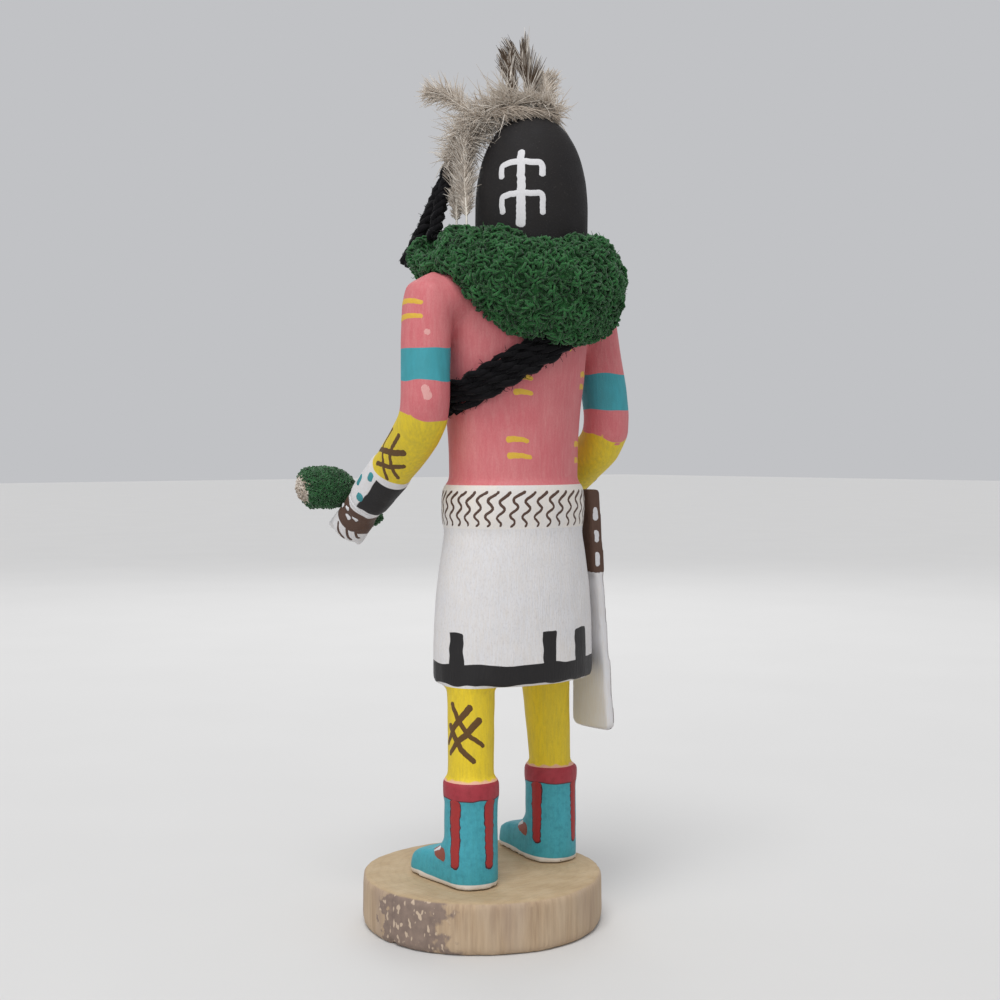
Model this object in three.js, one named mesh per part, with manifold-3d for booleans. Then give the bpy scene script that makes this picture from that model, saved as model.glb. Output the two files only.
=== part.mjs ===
// Carved kachina doll on a slice of branch, with a yarn ruff, a yarn bandolier, hair strands, a
// sprig in the left fist and feathers on the crown. Millimetres, +Z up, the doll faces -Y and its
// left side is +X. The origin is the centre of the slice's underside.
import * as THREE from 'three';
import { mergeVertices } from 'three/addons/utils/BufferGeometryUtils.js';
import Module from 'manifold-3d';

const wasm = await Module();
wasm.setup();

// ---- Driving dimensions -------------------------------------------------------------------------

const GAP = 0.3; // clearance kept between pieces that lie against each other
const DEG = Math.PI / 180;

const BASE = { radius: 36.3, height: 15.3, edge: 0.7, wobble: 0.5 };
const SOLE = BASE.height + GAP; // height of the boot soles

// Stations are [height, half width, half depth].
const BODY = { x: -6.2, y: 7.6 }; // upright axis of kilt, belt and trunk
const KILT = [
  [74.5, 27.5, 19.6], [84, 27.4, 19.6], [96, 26.9, 19.4], [108, 25.4, 18.7], [122, 22.9, 17.4],
];
const BELT = [[120.5, 23.7, 17.7], [124, 24.3, 18.2], [130, 24.3, 18.2], [133.5, 23.7, 17.7]];
const TRUNK = [
  [130, 21.6, 16.3], [147, 22.2, 16.5], [160, 23.6, 17.2], [173, 25.6, 18],
  [184, 26.2, 17], [191, 22.5, 14.5], [196, 15, 11.8], [200, 10, 10],
];

// Where each boot stands and ends, where its leg enters the kilt, and how far the toe turns out.
const LEGS = [
  { x: 13.2, y: 10.7, topX: 13.2, ankle: 6.9, knee: 7.2, bootTop: 46.4, turn: 0 },
  { x: -24.6, y: 3.9, topX: -21.9, ankle: 6.3, knee: 8, bootTop: 45, turn: -9 * DEG },
];
const LEG_TOP = 78;
const BOOT = {
  shaft: 8, rim: 8.4, rimHeight: 5,
  toeReach: 18, toeRadius: 7, toeHeight: 8.7, instepHeight: 10.2,
};

const HEAD = {
  x: -10.2, y: 11.2, bottom: 204, widest: 214, top: 245.8, radius: 17.4, round: 2.35, narrowing: 0.3,
};
const HEAD_TURN = 50 * DEG; // the mask looks this far towards the doll's right
const NECK_RADIUS = 9.5;
const YOKE = { left: [25, 8, 188.4], right: [-37, 8, 185.8], halfHeight: 7.6, halfDepth: 8.6 };
const SNOUT = { height: 215.5, radius: 4.4, reach: 5.5 };

// Each arm's route runs from the shoulder over the elbow to the wrist.
const ARMS = {
  left: {
    inward: -1, palm: [27.6, -29, 122],
    route: [[25, 8, 196], [27.6, 8.4, 183], [29, 9.2, 167], [28.8, 8.4, 154], [27.8, 0, 145.6],
      [26.8, -13, 136], [27.4, -26, 125.5]],
  },
  right: {
    inward: 1, palm: [-41.2, -25.4, 118],
    route: [[-36.8, 8, 193.5], [-39.4, 8.6, 179], [-40.8, 11.4, 162], [-41.2, 11.4, 148.5],
      [-41, 2.6, 140.4], [-40.8, -10, 131], [-41, -22, 121.5]],
  },
};
const ARM = { shoulder: 8.2, upper: 7.4, wrist: 5.8, cuff: 7.2, cuffFrom: 0.77, cuffTo: 0.94 };
const PALM = { halfWidth: 6, halfThickness: 4.6 };
const FINGER = { radius: 1.75, spacing: 3.1, count: 4 };

const SASH = { // a panel that leans out and widens towards its foot
  thickness: 3, topThickness: 4.8, topFrom: 105.5, bottom: 55.8, top: 131.5, corner: 2.5,
  topX: -33.6, bottomX: -36.9, topFront: 2.5, topRear: 14.5, bottomFront: 2.5, bottomRear: 19,
};

const RUFF = {
  x: -7.6, y: 8.6, ringRadius: 19.4, halfWidth: 13.2, height: 193.5, halfHeight: 16,
  thinSide: -40 * DEG, thinLift: 9.5, thinHalfHeight: 7.4, thinRingRadius: 24.4, thinHalfWidth: 9.6,
  dipSide: 72 * DEG, dip: 4.8, dipSharpness: 14, // where the top edge sinks behind the head
  sagSide: 97 * DEG, sag: 3.2, sagSharpness: 5, // where the lower edge hangs
};

const BANDOLIER = { halfWidth: 5.3, halfThickness: 1.7 };
const BANDOLIER_ROUTE = [
  [18.4, 7, 159], [16, 18.5, 163], [8, 25.2, 169], [-4, 27.8, 175.5], [-16, 25.6, 183.5],
  [-25.5, 19, 191.5], [-29.5, 9, 197], [-27.5, -2.5, 192], [-19.5, -10, 184], [-7, -12.6, 173],
  [6, -10.4, 164], [15.5, -3, 159],
];

const HAIR_RADIUS = 1.7;
const HAIR_ROUTES = {
  hair_strand_long: [
    [3.4, -6.2, 238], [5, -7, 235], [6.5, -8, 231.3], [8.4, -9.5, 225.3], [10.6, -10.9, 219.2],
    [13.2, -12.4, 212.4], [15.8, -13.8, 206.2], [18.3, -15.2, 200.8],
  ],
  hair_strand_short: [
    [6, -2.6, 236.4], [7, -3.8, 233.4], [8.4, -4.8, 229.2], [10.2, -5.4, 224.2], [12.2, -5.4, 218.6],
    [14, -5, 213], [15.8, -4.4, 207.6],
  ],
};

const SPRIG = {
  // route from the leafy end, through the fist, to the short end behind the wrist
  route: [[41.5, -41, 131], [34, -38.6, 132.4], [27, -37, 131], [21, -33.4, 125.4], [15.6, -30.4, 120.6]],
  leafRadius: 6.8, stalkRadius: 3.1, endRadius: 3.9,
};

// Each feather's route runs from its quill to its tip, and half is its vane's half width.
const FEATHERS = {
  crown_feather_1: {
    half: 3.1, route: [[-9.5, 9, 247.6], [-10.5, 9, 255], [-9.5, 7.6, 262], [-7.6, 6.6, 266.2]],
  },
  crown_feather_2: {
    half: 3.2, route: [[-13, 10, 247.2], [-15.4, 10.6, 253], [-16.6, 10.2, 259], [-16, 9.4, 263]],
  },
  crown_feather_3: {
    half: 2.6, route: [[-6, 7.6, 246.8], [-4.6, 6.6, 252], [-4.4, 5.8, 258], [-5, 5, 263.6]],
  },
  crown_feather_4: {
    half: 3, route: [[4.5, 1, 246], [8, -2.4, 250.5], [11.4, -5.6, 252.6], [14.4, -8.4, 253]],
  },
  side_feather_1: {
    half: 2.7, route: [[10.2, -1.4, 205.5], [8.6, -2.2, 214], [7.6, -3.2, 224], [7.8, -3.2, 238]],
  },
  side_feather_2: {
    half: 2.7, route: [[15.4, 3.4, 205.5], [11.4, 1.6, 214], [8.8, 1, 225], [8, 1.4, 240]],
  },
};
const FEATHER = { halfThickness: 0.35, quillHalf: 0.45, quillShare: 0.28 };

// Downy tuft: a bean over the crown and the left ear, [x, y, z, half width] from right to left.
const TUFT = [
  [-17, 15, 248.4, 3.2], [-9.6, 10.6, 250.8, 4.8], [-2.4, 4.8, 249, 5.4],
  [3.4, 0.2, 243.6, 5], [6.4, -2.4, 236.8, 4.2], [8, -3.4, 232.2, 2.4],
];
const TUFT_FLATNESS = 0.72;

// ---- Materials ----------------------------------------------------------------------------------

const finish = (color, roughness) => new THREE.MeshStandardMaterial({ color, roughness, metalness: 0 });
const MATERIALS = {
  sawnWood: finish(0xb59c7a, 0.85),
  pinkPaint: finish(0xd0707a, 0.6),
  whitePaint: finish(0xd8d6d6, 0.65),
  greenYarn: finish(0x1f5a2e, 0.95),
  blackYarn: finish(0x16151a, 0.9),
  greenFuzz: finish(0x2f5b33, 0.95),
  down: finish(0x9a8a76, 0.9),
};

// ---- Shape helpers ------------------------------------------------------------------------------

const vec = ([x, y, z]) => new THREE.Vector3(x, y, z);
const curveThrough = (points) =>
  new THREE.CatmullRomCurve3(points.map(vec), false, 'centripetal');

/** A closed three.js geometry as a solid: its shared corners joined, its collapsed faces dropped. */
function toSolid(geometry) {
  const bare = geometry.clone();
  bare.deleteAttribute('normal');
  bare.deleteAttribute('uv');
  const merged = mergeVertices(bare, 1e-4);
  const corners = merged.index.array;
  const kept = [];
  for (let i = 0; i < corners.length; i += 3) {
    const [a, b, c] = [corners[i], corners[i + 1], corners[i + 2]];
    if (a !== b && b !== c && c !== a) kept.push(a, b, c);
  }
  return new wasm.Manifold(new wasm.Mesh({
    numProp: 3,
    vertProperties: new Float32Array(merged.attributes.position.array),
    triVerts: new Uint32Array(kept),
  }));
}

/** A solid as a three.js geometry. */
function toGeometry(solid) {
  const mesh = solid.getMesh();
  const corners = new Float32Array(mesh.triVerts.length * 3);
  mesh.triVerts.forEach((vertex, i) => {
    for (let k = 0; k < 3; k++) corners[3 * i + k] = mesh.vertProperties[vertex * mesh.numProp + k];
  });
  const geometry = new THREE.BufferGeometry();
  geometry.setAttribute('position', new THREE.BufferAttribute(corners, 3));
  geometry.computeVertexNormals();
  return geometry;
}

const joined = (solids) => solids.reduce((whole, solid) => whole.add(solid));

/** The largest of a solid's separate bodies, for a cut that leaves slivers behind. */
function mainBody(solid) {
  const bodies = solid.decompose();
  return bodies.reduce((best, body) => (body.volume() > best.volume() ? body : best));
}

/** A cylinder whose every corner is placed anew: place(share along it, u, v), (u, v) on the unit disc. */
function formed(sides, steps, place) {
  const geometry = new THREE.CylinderGeometry(1, 1, 1, sides, steps);
  const position = geometry.attributes.position;
  for (let i = 0; i < position.count; i++) {
    const spot = place(position.getY(i) + 0.5, position.getX(i), position.getZ(i));
    position.setXYZ(i, spot.x, spot.y, spot.z);
  }
  return toSolid(geometry);
}

/** An upright oval body through [height, half width, half depth] stations. */
function upright(stations, centre, { sides = 24, steps = 9, grow = 0 } = {}) {
  const profile = curveThrough(stations.map(([z, a, b]) => [a, b, z]));
  return formed(sides, steps, (share, u, v) => {
    const at = profile.getPoint(share);
    const lift = share === 0 ? -grow : share === 1 ? grow : 0;
    return new THREE.Vector3(
      centre.x + (at.x + grow) * u, centre.y - (at.y + grow) * v, at.z + lift);
  });
}

/** A limb along a curve; section(share) gives its half width and half thickness. */
function limb(curve, section, { sides = 16, steps = 12, facing = vec([0, 0, 1]), grow = 0 } = {}) {
  return formed(sides, steps, (share, u, v) => {
    const along = curve.getTangentAt(share);
    const across = new THREE.Vector3().crossVectors(facing, along).normalize();
    const through = new THREE.Vector3().crossVectors(across, along);
    const [wide, thick] = section(share);
    const lift = share === 0 ? -grow : share === 1 ? grow : 0;
    return curve.getPointAt(share)
      .addScaledVector(across, u * (wide + grow))
      .addScaledVector(through, v * (thick + grow))
      .addScaledVector(along, lift);
  });
}

/** Swells from a point at each end to 1 over the given shares of the length. */
function roundedEnds(share, first, last) {
  const head = first > 0 ? Math.min(share / first, 1) : 1;
  const tail = last > 0 ? Math.min((1 - share) / last, 1) : 1;
  return Math.max(0.12, Math.sqrt(1 - (1 - head) ** 2)) * Math.max(0.12, Math.sqrt(1 - (1 - tail) ** 2));
}

const blend = THREE.MathUtils.lerp;
const ease = (value, from, to) => THREE.MathUtils.smoothstep(value, from, to);

// ---- The slice of branch ------------------------------------------------------------------------

function baseSlice() {
  const { radius, height, edge, wobble } = BASE;
  const profile = [[0, 0], [radius - edge, 0], [radius, edge], [radius, height / 2],
    [radius, height - edge], [radius - edge, height], [0, height]];
  const lathe = new THREE.LatheGeometry(profile.map(([r, z]) => new THREE.Vector2(r, z)), 40);
  lathe.rotateX(Math.PI / 2);
  const position = lathe.attributes.position;
  for (let i = 0; i < position.count; i++) {
    const angle = Math.atan2(position.getY(i), position.getX(i));
    const share = 1 + (wobble * (Math.cos(2 * angle + 1) + 0.5 * Math.sin(5 * angle))) / radius;
    position.setX(i, position.getX(i) * share);
    position.setY(i, position.getY(i) * share);
  }
  return toSolid(lathe);
}

// ---- The carved figure --------------------------------------------------------------------------

/** One boot: the shaft with its rim, and a foot cut from its plan and its side outline. */
function boot({ x, y, bootTop: top, turn }) {
  const { shaft, rim, rimHeight, toeReach, toeRadius, toeHeight, instepHeight } = BOOT;
  const round = { sides: 18, steps: 1 };
  const centre = { x: 0, y: 0 };
  const tube = upright([[SOLE, shaft, shaft], [top - 1, shaft, shaft]], centre, round);
  const band = upright([[top - rimHeight, rim, rim], [top, rim, rim]], centre, round);
  const plan = new THREE.Shape();
  const flank = Math.asin((shaft - toeRadius) / toeReach);
  plan.absarc(0, 0, shaft, flank, Math.PI - flank, false);
  plan.absarc(0, -toeReach, toeRadius, Math.PI - flank, 2 * Math.PI + flank, false);
  const sole = new THREE.ExtrudeGeometry(plan,
    { depth: instepHeight * 2, bevelEnabled: false, curveSegments: 8 });
  sole.translate(0, 0, SOLE);
  const tip = -toeReach - toeRadius;
  const side = new THREE.Shape(); // drawn with the heel at +x and the height along y
  side.moveTo(shaft + 1, 0);
  side.lineTo(shaft + 1, instepHeight + 2);
  side.lineTo(-shaft + 2, instepHeight + 2);
  side.bezierCurveTo(
    -shaft, instepHeight - 1.2, -shaft - 2, toeHeight + 0.8, -toeReach + 3, toeHeight);
  side.bezierCurveTo(
    -toeReach - 2, toeHeight - 0.8, tip + 0.4, toeHeight - 2.8, tip - 0.7, 1.4);
  side.lineTo(tip - 1, 0);
  const width = 4 * shaft;
  const wall = new THREE.ExtrudeGeometry(side,
    { depth: width, bevelEnabled: false, curveSegments: 4 });
  wall.applyMatrix4(new THREE.Matrix4().makeBasis(vec([0, 1, 0]), vec([0, 0, 1]), vec([1, 0, 0])));
  wall.translate(-width / 2, 0, SOLE);
  const whole = joined([tube, band, toSolid(sole).intersect(toSolid(wall))]);
  return whole.rotate([0, 0, turn / DEG]).translate([x, y, 0]);
}

/** One leg from the boot to inside the kilt. */
function leg({ x, y, topX, ankle, knee, bootTop }) {
  const low = bootTop - 3;
  return formed(18, 2, (share, u, v) => {
    const r = blend(ankle, knee, share);
    return new THREE.Vector3(blend(x, topX, share) + r * u, y - r * v, blend(low, LEG_TOP, share));
  });
}

/** The mask: a domed case, flat below, with a short round snout. */
function mask(grow = 0) {
  const { x, y, bottom, widest, top, radius, round, narrowing } = HEAD;
  const below = radius - narrowing;
  const stations = [[bottom, below, below]];
  const rings = 8;
  for (let i = 0; i < rings; i++) {
    const rise = Math.sin((i / rings) * 90 * DEG) * 0.995;
    const r = radius * (1 - rise ** round) ** (1 / round);
    stations.push([widest + (top - widest) * rise, r, r]);
  }
  const dome = upright(stations, { x, y }, { sides: 26, steps: stations.length - 1, grow });
  const forward = new THREE.Vector3(-Math.sin(HEAD_TURN), -Math.cos(HEAD_TURN), 0);
  const root = new THREE.Vector3(x, y, SNOUT.height);
  const tip = root.clone().addScaledVector(forward, radius + SNOUT.reach);
  const snout = limb(new THREE.LineCurve3(root, tip), () => [SNOUT.radius, SNOUT.radius],
    { sides: 12, steps: 1, grow });
  return dome.add(snout);
}

/** The trunk from inside the belt up to the neck, with the shoulders' yoke and the neck itself. */
function trunk(grow = 0) {
  const neck = [[196, NECK_RADIUS, NECK_RADIUS], [HEAD.bottom + 3, NECK_RADIUS, NECK_RADIUS]];
  const between = { x: (BODY.x + HEAD.x) / 2, y: (BODY.y + HEAD.y) / 2 };
  const yoke = limb(new THREE.LineCurve3(vec(YOKE.left), vec(YOKE.right)),
    () => [YOKE.halfDepth, YOKE.halfHeight], { sides: 12, steps: 1, grow });
  return joined([
    upright(TRUNK, BODY, { steps: 8, grow }), yoke, upright(neck, between, { sides: 12, steps: 1, grow }),
  ]);
}

/** The directions of one hand: along the arm, out of the palm, and along what the fist holds. */
function handFrame({ inward }) {
  const along = vec([-0.02 * -inward, -0.78, -0.62]).normalize();
  const out = vec([0.718 * inward, -0.415, 0.545]);
  out.addScaledVector(along, -out.dot(along)).normalize();
  return { along, out, grip: new THREE.Vector3().crossVectors(along, out) };
}

/** One arm with its cuff and fist. */
function arm(name, grow = 0) {
  const side = ARMS[name];
  const { along, out, grip } = handFrame(side);
  const spot = (a, o, g) =>
    vec(side.palm).addScaledVector(along, a).addScaledVector(out, o).addScaledVector(grip, g);
  const facing = vec([1, 0, 0]);
  const route = curveThrough(side.route);
  const armRadius = (share) => {
    const upper = blend(ARM.shoulder, ARM.upper, ease(share, 0, 0.3));
    return blend(upper, ARM.wrist, ease(share, 0.5, 1)) * roundedEnds(share, 0.1, 0);
  };
  const cuffRoute = new THREE.LineCurve3(route.getPointAt(ARM.cuffFrom), route.getPointAt(ARM.cuffTo));
  const cuffRadius = (share) => blend(ARM.cuff, ARM.cuff - 0.7, share);
  const palmEnds = (share) => roundedEnds(share, 0.1, 0.25);
  const pieces = [
    limb(route, (share) => [armRadius(share), armRadius(share)], { sides: 12, steps: 16, facing, grow }),
    limb(cuffRoute, (share) => [cuffRadius(share), cuffRadius(share)],
      { sides: 12, steps: 1, facing, grow }),
    limb(new THREE.LineCurve3(spot(-6, 0, 0), spot(8, 0.4, 0)),
      (share) => [PALM.halfWidth * palmEnds(share), PALM.halfThickness * palmEnds(share)],
      { sides: 12, steps: 5, facing: out, grow }),
  ];
  const fingerRadius = (share) => FINGER.radius * roundedEnds(share, 0, 0.14);
  for (let i = 0; i < FINGER.count; i++) {
    const g = (i - (FINGER.count - 1) / 2) * FINGER.spacing;
    const curl = new THREE.CatmullRomCurve3([ // out of the palm, round the grip and back
      spot(3, 1, g), spot(8, 1.6, g), spot(9.6, 5.4, g * 0.96), spot(7, 9.4, g * 0.92),
      spot(1.4, 10.4, g * 0.9)]);
    pieces.push(limb(curl, (share) => [fingerRadius(share), fingerRadius(share)],
      { sides: 6, steps: 4, facing: grip, grow }));
  }
  return joined(pieces);
}

function carvedFigure() {
  return joined([
    upright(KILT, BODY, { steps: 5 }), upright(BELT, BODY, { steps: 3 }), trunk(), mask(),
    ...LEGS.flatMap((spot) => [leg(spot), boot(spot)]),
    arm('left'), arm('right'),
  ]);
}

/** The figure's upper part, grown by the gap, to cut its neighbours with. */
function figureRoom() {
  return joined([
    upright(KILT, BODY, { steps: 5, grow: GAP }), upright(BELT, BODY, { steps: 3, grow: GAP }),
    trunk(GAP), mask(GAP), arm('left', GAP), arm('right', GAP),
  ]);
}

// ---- The sash panel -----------------------------------------------------------------------------

/** A slab from one height to another with rounded lower corners, set to the sash's lean and width. */
function slab(bottom, top, thickness, corner) {
  const outline = new THREE.Shape(); // width 1 along x, from front to rear, and the height along y
  const share = corner / (SASH.bottomRear - SASH.bottomFront);
  outline.moveTo(0, top);
  outline.lineTo(0, bottom + corner);
  outline.absellipse(share, bottom + corner, share, corner, Math.PI, 1.5 * Math.PI, false);
  outline.absellipse(1 - share, bottom + corner, share, corner, 1.5 * Math.PI, 2 * Math.PI, false);
  outline.lineTo(1, top);
  const geometry = new THREE.ExtrudeGeometry(outline,
    { depth: thickness, bevelEnabled: false, curveSegments: 5 });
  geometry.applyMatrix4(new THREE.Matrix4().makeBasis(vec([0, 1, 0]), vec([0, 0, 1]), vec([1, 0, 0])));
  const position = geometry.attributes.position;
  for (let i = 0; i < position.count; i++) {
    const rise = (position.getZ(i) - SASH.bottom) / (SASH.top - SASH.bottom);
    const front = blend(SASH.bottomFront, SASH.topFront, rise);
    const rear = blend(SASH.bottomRear, SASH.topRear, rise);
    position.setX(i, position.getX(i) - thickness / 2 + blend(SASH.bottomX, SASH.topX, rise));
    position.setY(i, blend(front, rear, position.getY(i)));
  }
  return toSolid(geometry);
}

function hipSash(room) {
  const panel = slab(SASH.bottom, SASH.top, SASH.thickness, SASH.corner);
  const pad = slab(SASH.topFrom, SASH.top, SASH.topThickness, 0.6);
  return mainBody(panel.add(pad).subtract(room));
}

// ---- Yarn ---------------------------------------------------------------------------------------

/** A closed ring along a closed curve; section(share, u, v) gives the corner there. */
function ring(sides, steps, place) {
  const geometry = new THREE.TorusGeometry(2, 1, sides, steps);
  const position = geometry.attributes.position;
  for (let i = 0; i < position.count; i++) {
    const [px, py, pz] = [position.getX(i), position.getY(i), position.getZ(i)];
    const turn = Math.atan2(py, px);
    const spot = place(turn, Math.hypot(px, py) - 2, pz);
    position.setXYZ(i, spot.x, spot.y, spot.z);
  }
  return toSolid(geometry);
}

/** The collar: a fat ring, lifted and thinner over the doll's left front. */
function yarnRuff(room, grow = 0) {
  const whole = ring(10, 22, (turn, u, v) => {
    const thin = Math.max(0, Math.cos(turn - RUFF.thinSide)) ** 2;
    const ringRadius = blend(RUFF.ringRadius, RUFF.thinRingRadius, thin);
    const wide = blend(RUFF.halfWidth, RUFF.thinHalfWidth, thin) + grow;
    const tall = blend(RUFF.halfHeight, RUFF.thinHalfHeight, thin) + grow;
    const reach = ringRadius + wide * u;
    const near = (side, sharpness) => Math.max(0, Math.cos(turn - side)) ** sharpness;
    const sink = v > 0
      ? RUFF.dip * near(RUFF.dipSide, RUFF.dipSharpness)
      : RUFF.sag * near(RUFF.sagSide, RUFF.sagSharpness);
    return new THREE.Vector3(
      RUFF.x + reach * Math.cos(turn), RUFF.y + reach * Math.sin(turn),
      RUFF.height + RUFF.thinLift * thin + tall * v - sink * Math.abs(v));
  });
  return room ? mainBody(whole.subtract(room)) : whole;
}

function bandolier(room, grow = 0) {
  const route = new THREE.CatmullRomCurve3(BANDOLIER_ROUTE.map(vec), true, 'centripetal');
  const whole = ring(6, 32, (turn, u, v) => {
    const share = (turn / (2 * Math.PI) + 1) % 1;
    const at = route.getPointAt(share);
    const along = route.getTangentAt(share);
    const away = new THREE.Vector3(at.x - BODY.x, at.y - BODY.y, Math.max(0, at.z - 180) * 1.6);
    away.addScaledVector(along, -away.dot(along)).normalize();
    const across = new THREE.Vector3().crossVectors(away, along).negate();
    return at.addScaledVector(away, u * (BANDOLIER.halfThickness + grow))
      .addScaledVector(across, -v * (BANDOLIER.halfWidth + grow));
  });
  return room ? mainBody(whole.subtract(room)) : whole;
}

/** One free strand: a round tube along its route. */
function hairStrand(points, grow = 0) {
  const section = new THREE.Shape();
  section.absarc(0, 0, HAIR_RADIUS + grow, 0, 2 * Math.PI, false);
  const route = curveThrough(points);
  return toSolid(new THREE.ExtrudeGeometry(section, {
    steps: 10, curveSegments: 4, bevelEnabled: false, extrudePath: route,
  }));
}

function greenSprig(room) {
  const radius = (share) => {
    const leafy = blend(SPRIG.leafRadius, SPRIG.stalkRadius, ease(share, 0.42, 0.66));
    return blend(leafy, SPRIG.endRadius, ease(share, 0.82, 1)) * roundedEnds(share, 0.12, 0.06);
  };
  const whole = limb(curveThrough(SPRIG.route), (share) => [radius(share), radius(share)],
    { sides: 10, steps: 10 });
  return mainBody(whole.subtract(room));
}

// ---- Feathers -----------------------------------------------------------------------------------

/** A flat blade: a narrow bare quill, then a vane that swells and closes at the tip. */
function feather({ route, half }, room) {
  const vane = (share) => {
    const open = ease(share, FEATHER.quillShare * 0.6, FEATHER.quillShare + 0.22);
    const shut = Math.sqrt(Math.max(0.02, 1 - Math.max(0, (share - 0.62) / 0.38) ** 2));
    return blend(FEATHER.quillHalf, half * shut, open);
  };
  const blade = limb(curveThrough(route), (share) => [vane(share), FEATHER.halfThickness],
    { sides: 6, steps: 7, facing: vec([0.6, 0.78, 0.15]) });
  return mainBody(blade.subtract(room));
}

function crownTuft(room) {
  const spine = curveThrough(TUFT.map(([x, y, z]) => [x, y, z]));
  const last = TUFT.length - 1;
  const halfWidth = (share) => {
    const i = Math.min(last - 1, Math.floor(share * last));
    return blend(TUFT[i][3], TUFT[i + 1][3], share * last - i) * roundedEnds(share, 0.1, 0.1);
  };
  const bean = limb(spine, (share) => [halfWidth(share), halfWidth(share) * TUFT_FLATNESS],
    { sides: 10, steps: 8 });
  return mainBody(bean.subtract(room));
}

// ---- Assembly -----------------------------------------------------------------------------------

const doll = new THREE.Group();

function place(name, solid, material) {
  const mesh = new THREE.Mesh(toGeometry(solid), material);
  mesh.name = name;
  doll.add(mesh);
}

const room = figureRoom();
place('base_slice', baseSlice(), MATERIALS.sawnWood);
place('carved_figure', carvedFigure(), MATERIALS.pinkPaint);
place('hip_sash', hipSash(room), MATERIALS.whitePaint);

place('green_sprig', greenSprig(room), MATERIALS.greenFuzz);
place('bandolier', bandolier(room), MATERIALS.blackYarn);

let hairRoom = bandolier(null, GAP);
for (const [name, points] of Object.entries(HAIR_ROUTES)) {
  place(name, hairStrand(points), MATERIALS.blackYarn);
  hairRoom = hairRoom.add(hairStrand(points, GAP));
}
place('yarn_ruff', yarnRuff(room.add(hairRoom)), MATERIALS.greenYarn);

let taken = joined([room, hairRoom, yarnRuff(null, GAP)]);
const tuft = crownTuft(taken);
place('crown_tuft', tuft, MATERIALS.down);
taken = taken.add(tuft);
for (const [name, shape] of Object.entries(FEATHERS)) {
  const blade = feather(shape, taken);
  place(name, blade, MATERIALS.down);
  taken = taken.add(blade);
}

export default doll;
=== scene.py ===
"""Builds the looks of a carved and painted kachina doll on its slice of wood, in metres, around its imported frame."""

import logging
import math
from dataclasses import dataclass, field
from enum import Enum
from typing import Callable, Iterable, Sequence

import bmesh
import bpy
import numpy as np
from mathutils import Matrix, Vector, noise
from mathutils.bvhtree import BVHTree


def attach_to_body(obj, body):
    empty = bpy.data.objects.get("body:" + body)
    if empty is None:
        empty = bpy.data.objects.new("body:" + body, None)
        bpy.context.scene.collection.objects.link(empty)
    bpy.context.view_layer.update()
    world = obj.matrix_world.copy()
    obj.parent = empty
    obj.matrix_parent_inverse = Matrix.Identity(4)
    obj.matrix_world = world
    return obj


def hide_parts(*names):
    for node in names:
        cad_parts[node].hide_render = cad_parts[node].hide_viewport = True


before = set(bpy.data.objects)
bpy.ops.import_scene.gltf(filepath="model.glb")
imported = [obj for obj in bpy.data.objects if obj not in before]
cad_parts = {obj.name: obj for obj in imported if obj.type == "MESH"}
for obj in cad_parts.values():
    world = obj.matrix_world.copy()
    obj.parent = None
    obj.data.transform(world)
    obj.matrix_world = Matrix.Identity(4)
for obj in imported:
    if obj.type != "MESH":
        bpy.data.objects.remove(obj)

LOG = logging.getLogger("kachina")
MM = 0.001
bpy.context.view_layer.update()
Triple = tuple[float, float, float]


class Tint(Enum):
    """The paints, woods, wools and feathers of the doll, as the colours a maker would match."""

    PINK = "#CC6E73"
    PINK_PALE = "#DDA39F"
    TURQUOISE = "#41A2B0"
    TEAL = "#3B8B92"
    YELLOW = "#E4C827"
    YELLOW_ARM = "#C4AE35"
    MARK = "#D9B140"
    RED = "#9E2F3A"
    RED_BRIGHT = "#9F2D2C"
    RUST = "#8C4638"
    RED_DARK = "#4A1C28"
    WHITE = "#D6D5D7"
    WHITE_WARM = "#E0D9D0"
    BLACK = "#1D1B1C"
    BLACK_SOFT = "#282524"
    BROWN = "#533C31"
    BROWN_WARM = "#5F421C"
    WOOD = "#B19A79"
    GREEN = "#2E6637"
    GREEN_PALE = "#578C52"
    GREEN_DARK = "#163C1D"
    MOSS = "#3F6B45"
    YARN_BLACK = "#0D0C0F"
    DOWN = "#D0C4B6"
    DOWN_PALE = "#EFE8DE"
    DOWN_DARK = "#8A7661"
    PLUME = "#4A3826"
    QUILL = "#E4E0D6"
    THREAD = "#4E5F58"

    def linear(self) -> tuple[float, float, float, float]:
        """Gives the colour in the light-linear form that a shader takes."""
        parts = [int(self.value[i : i + 2], 16) / 255 for i in (1, 3, 5)]
        return (*(p / 12.92 if p <= 0.04045 else ((p + 0.055) / 1.055) ** 2.4 for p in parts), 1.0)


def mm(point: Sequence[float]) -> Vector:
    """Turns a point in millimetres into a vector in metres."""
    return Vector(point) * MM


def smooth_route(points: Sequence[Triple], step: float, closed: bool = False) -> list[Vector]:
    """Draws one smooth curve through a few points.

    Args:
        points: The points that the curve passes through, in millimetres.
        step: The spacing of the points that come back, in millimetres.
        closed: Whether the curve joins its own start.

    Returns:
        Evenly spaced points along the curve, in millimetres.
    """
    knots = [Vector(p) for p in points]
    count = len(knots)
    pick = (lambda i: knots[i % count]) if closed else (lambda i: knots[max(0, min(count - 1, i))])
    fine = []
    for i in range(count if closed else count - 1):
        a, b, c, d = pick(i - 1), pick(i), pick(i + 1), pick(i + 2)
        for n in range(12):
            t = n / 12
            fine.append(0.5 * (2 * b + (c - a) * t + (2 * a - 5 * b + 4 * c - d) * t**2 + (3 * b - a - 3 * c + d) * t**3))
    fine.append(knots[0] if closed else knots[-1])
    runs = np.concatenate([[0], np.cumsum([(q - p).length for p, q in zip(fine, fine[1:])])])
    total = max(2, int(round(runs[-1] / step)))
    return [Vector([np.interp(runs[-1] * n / total, runs, [p[k] for p in fine]) for k in range(3)]) for n in range(total + 1)]


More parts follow.
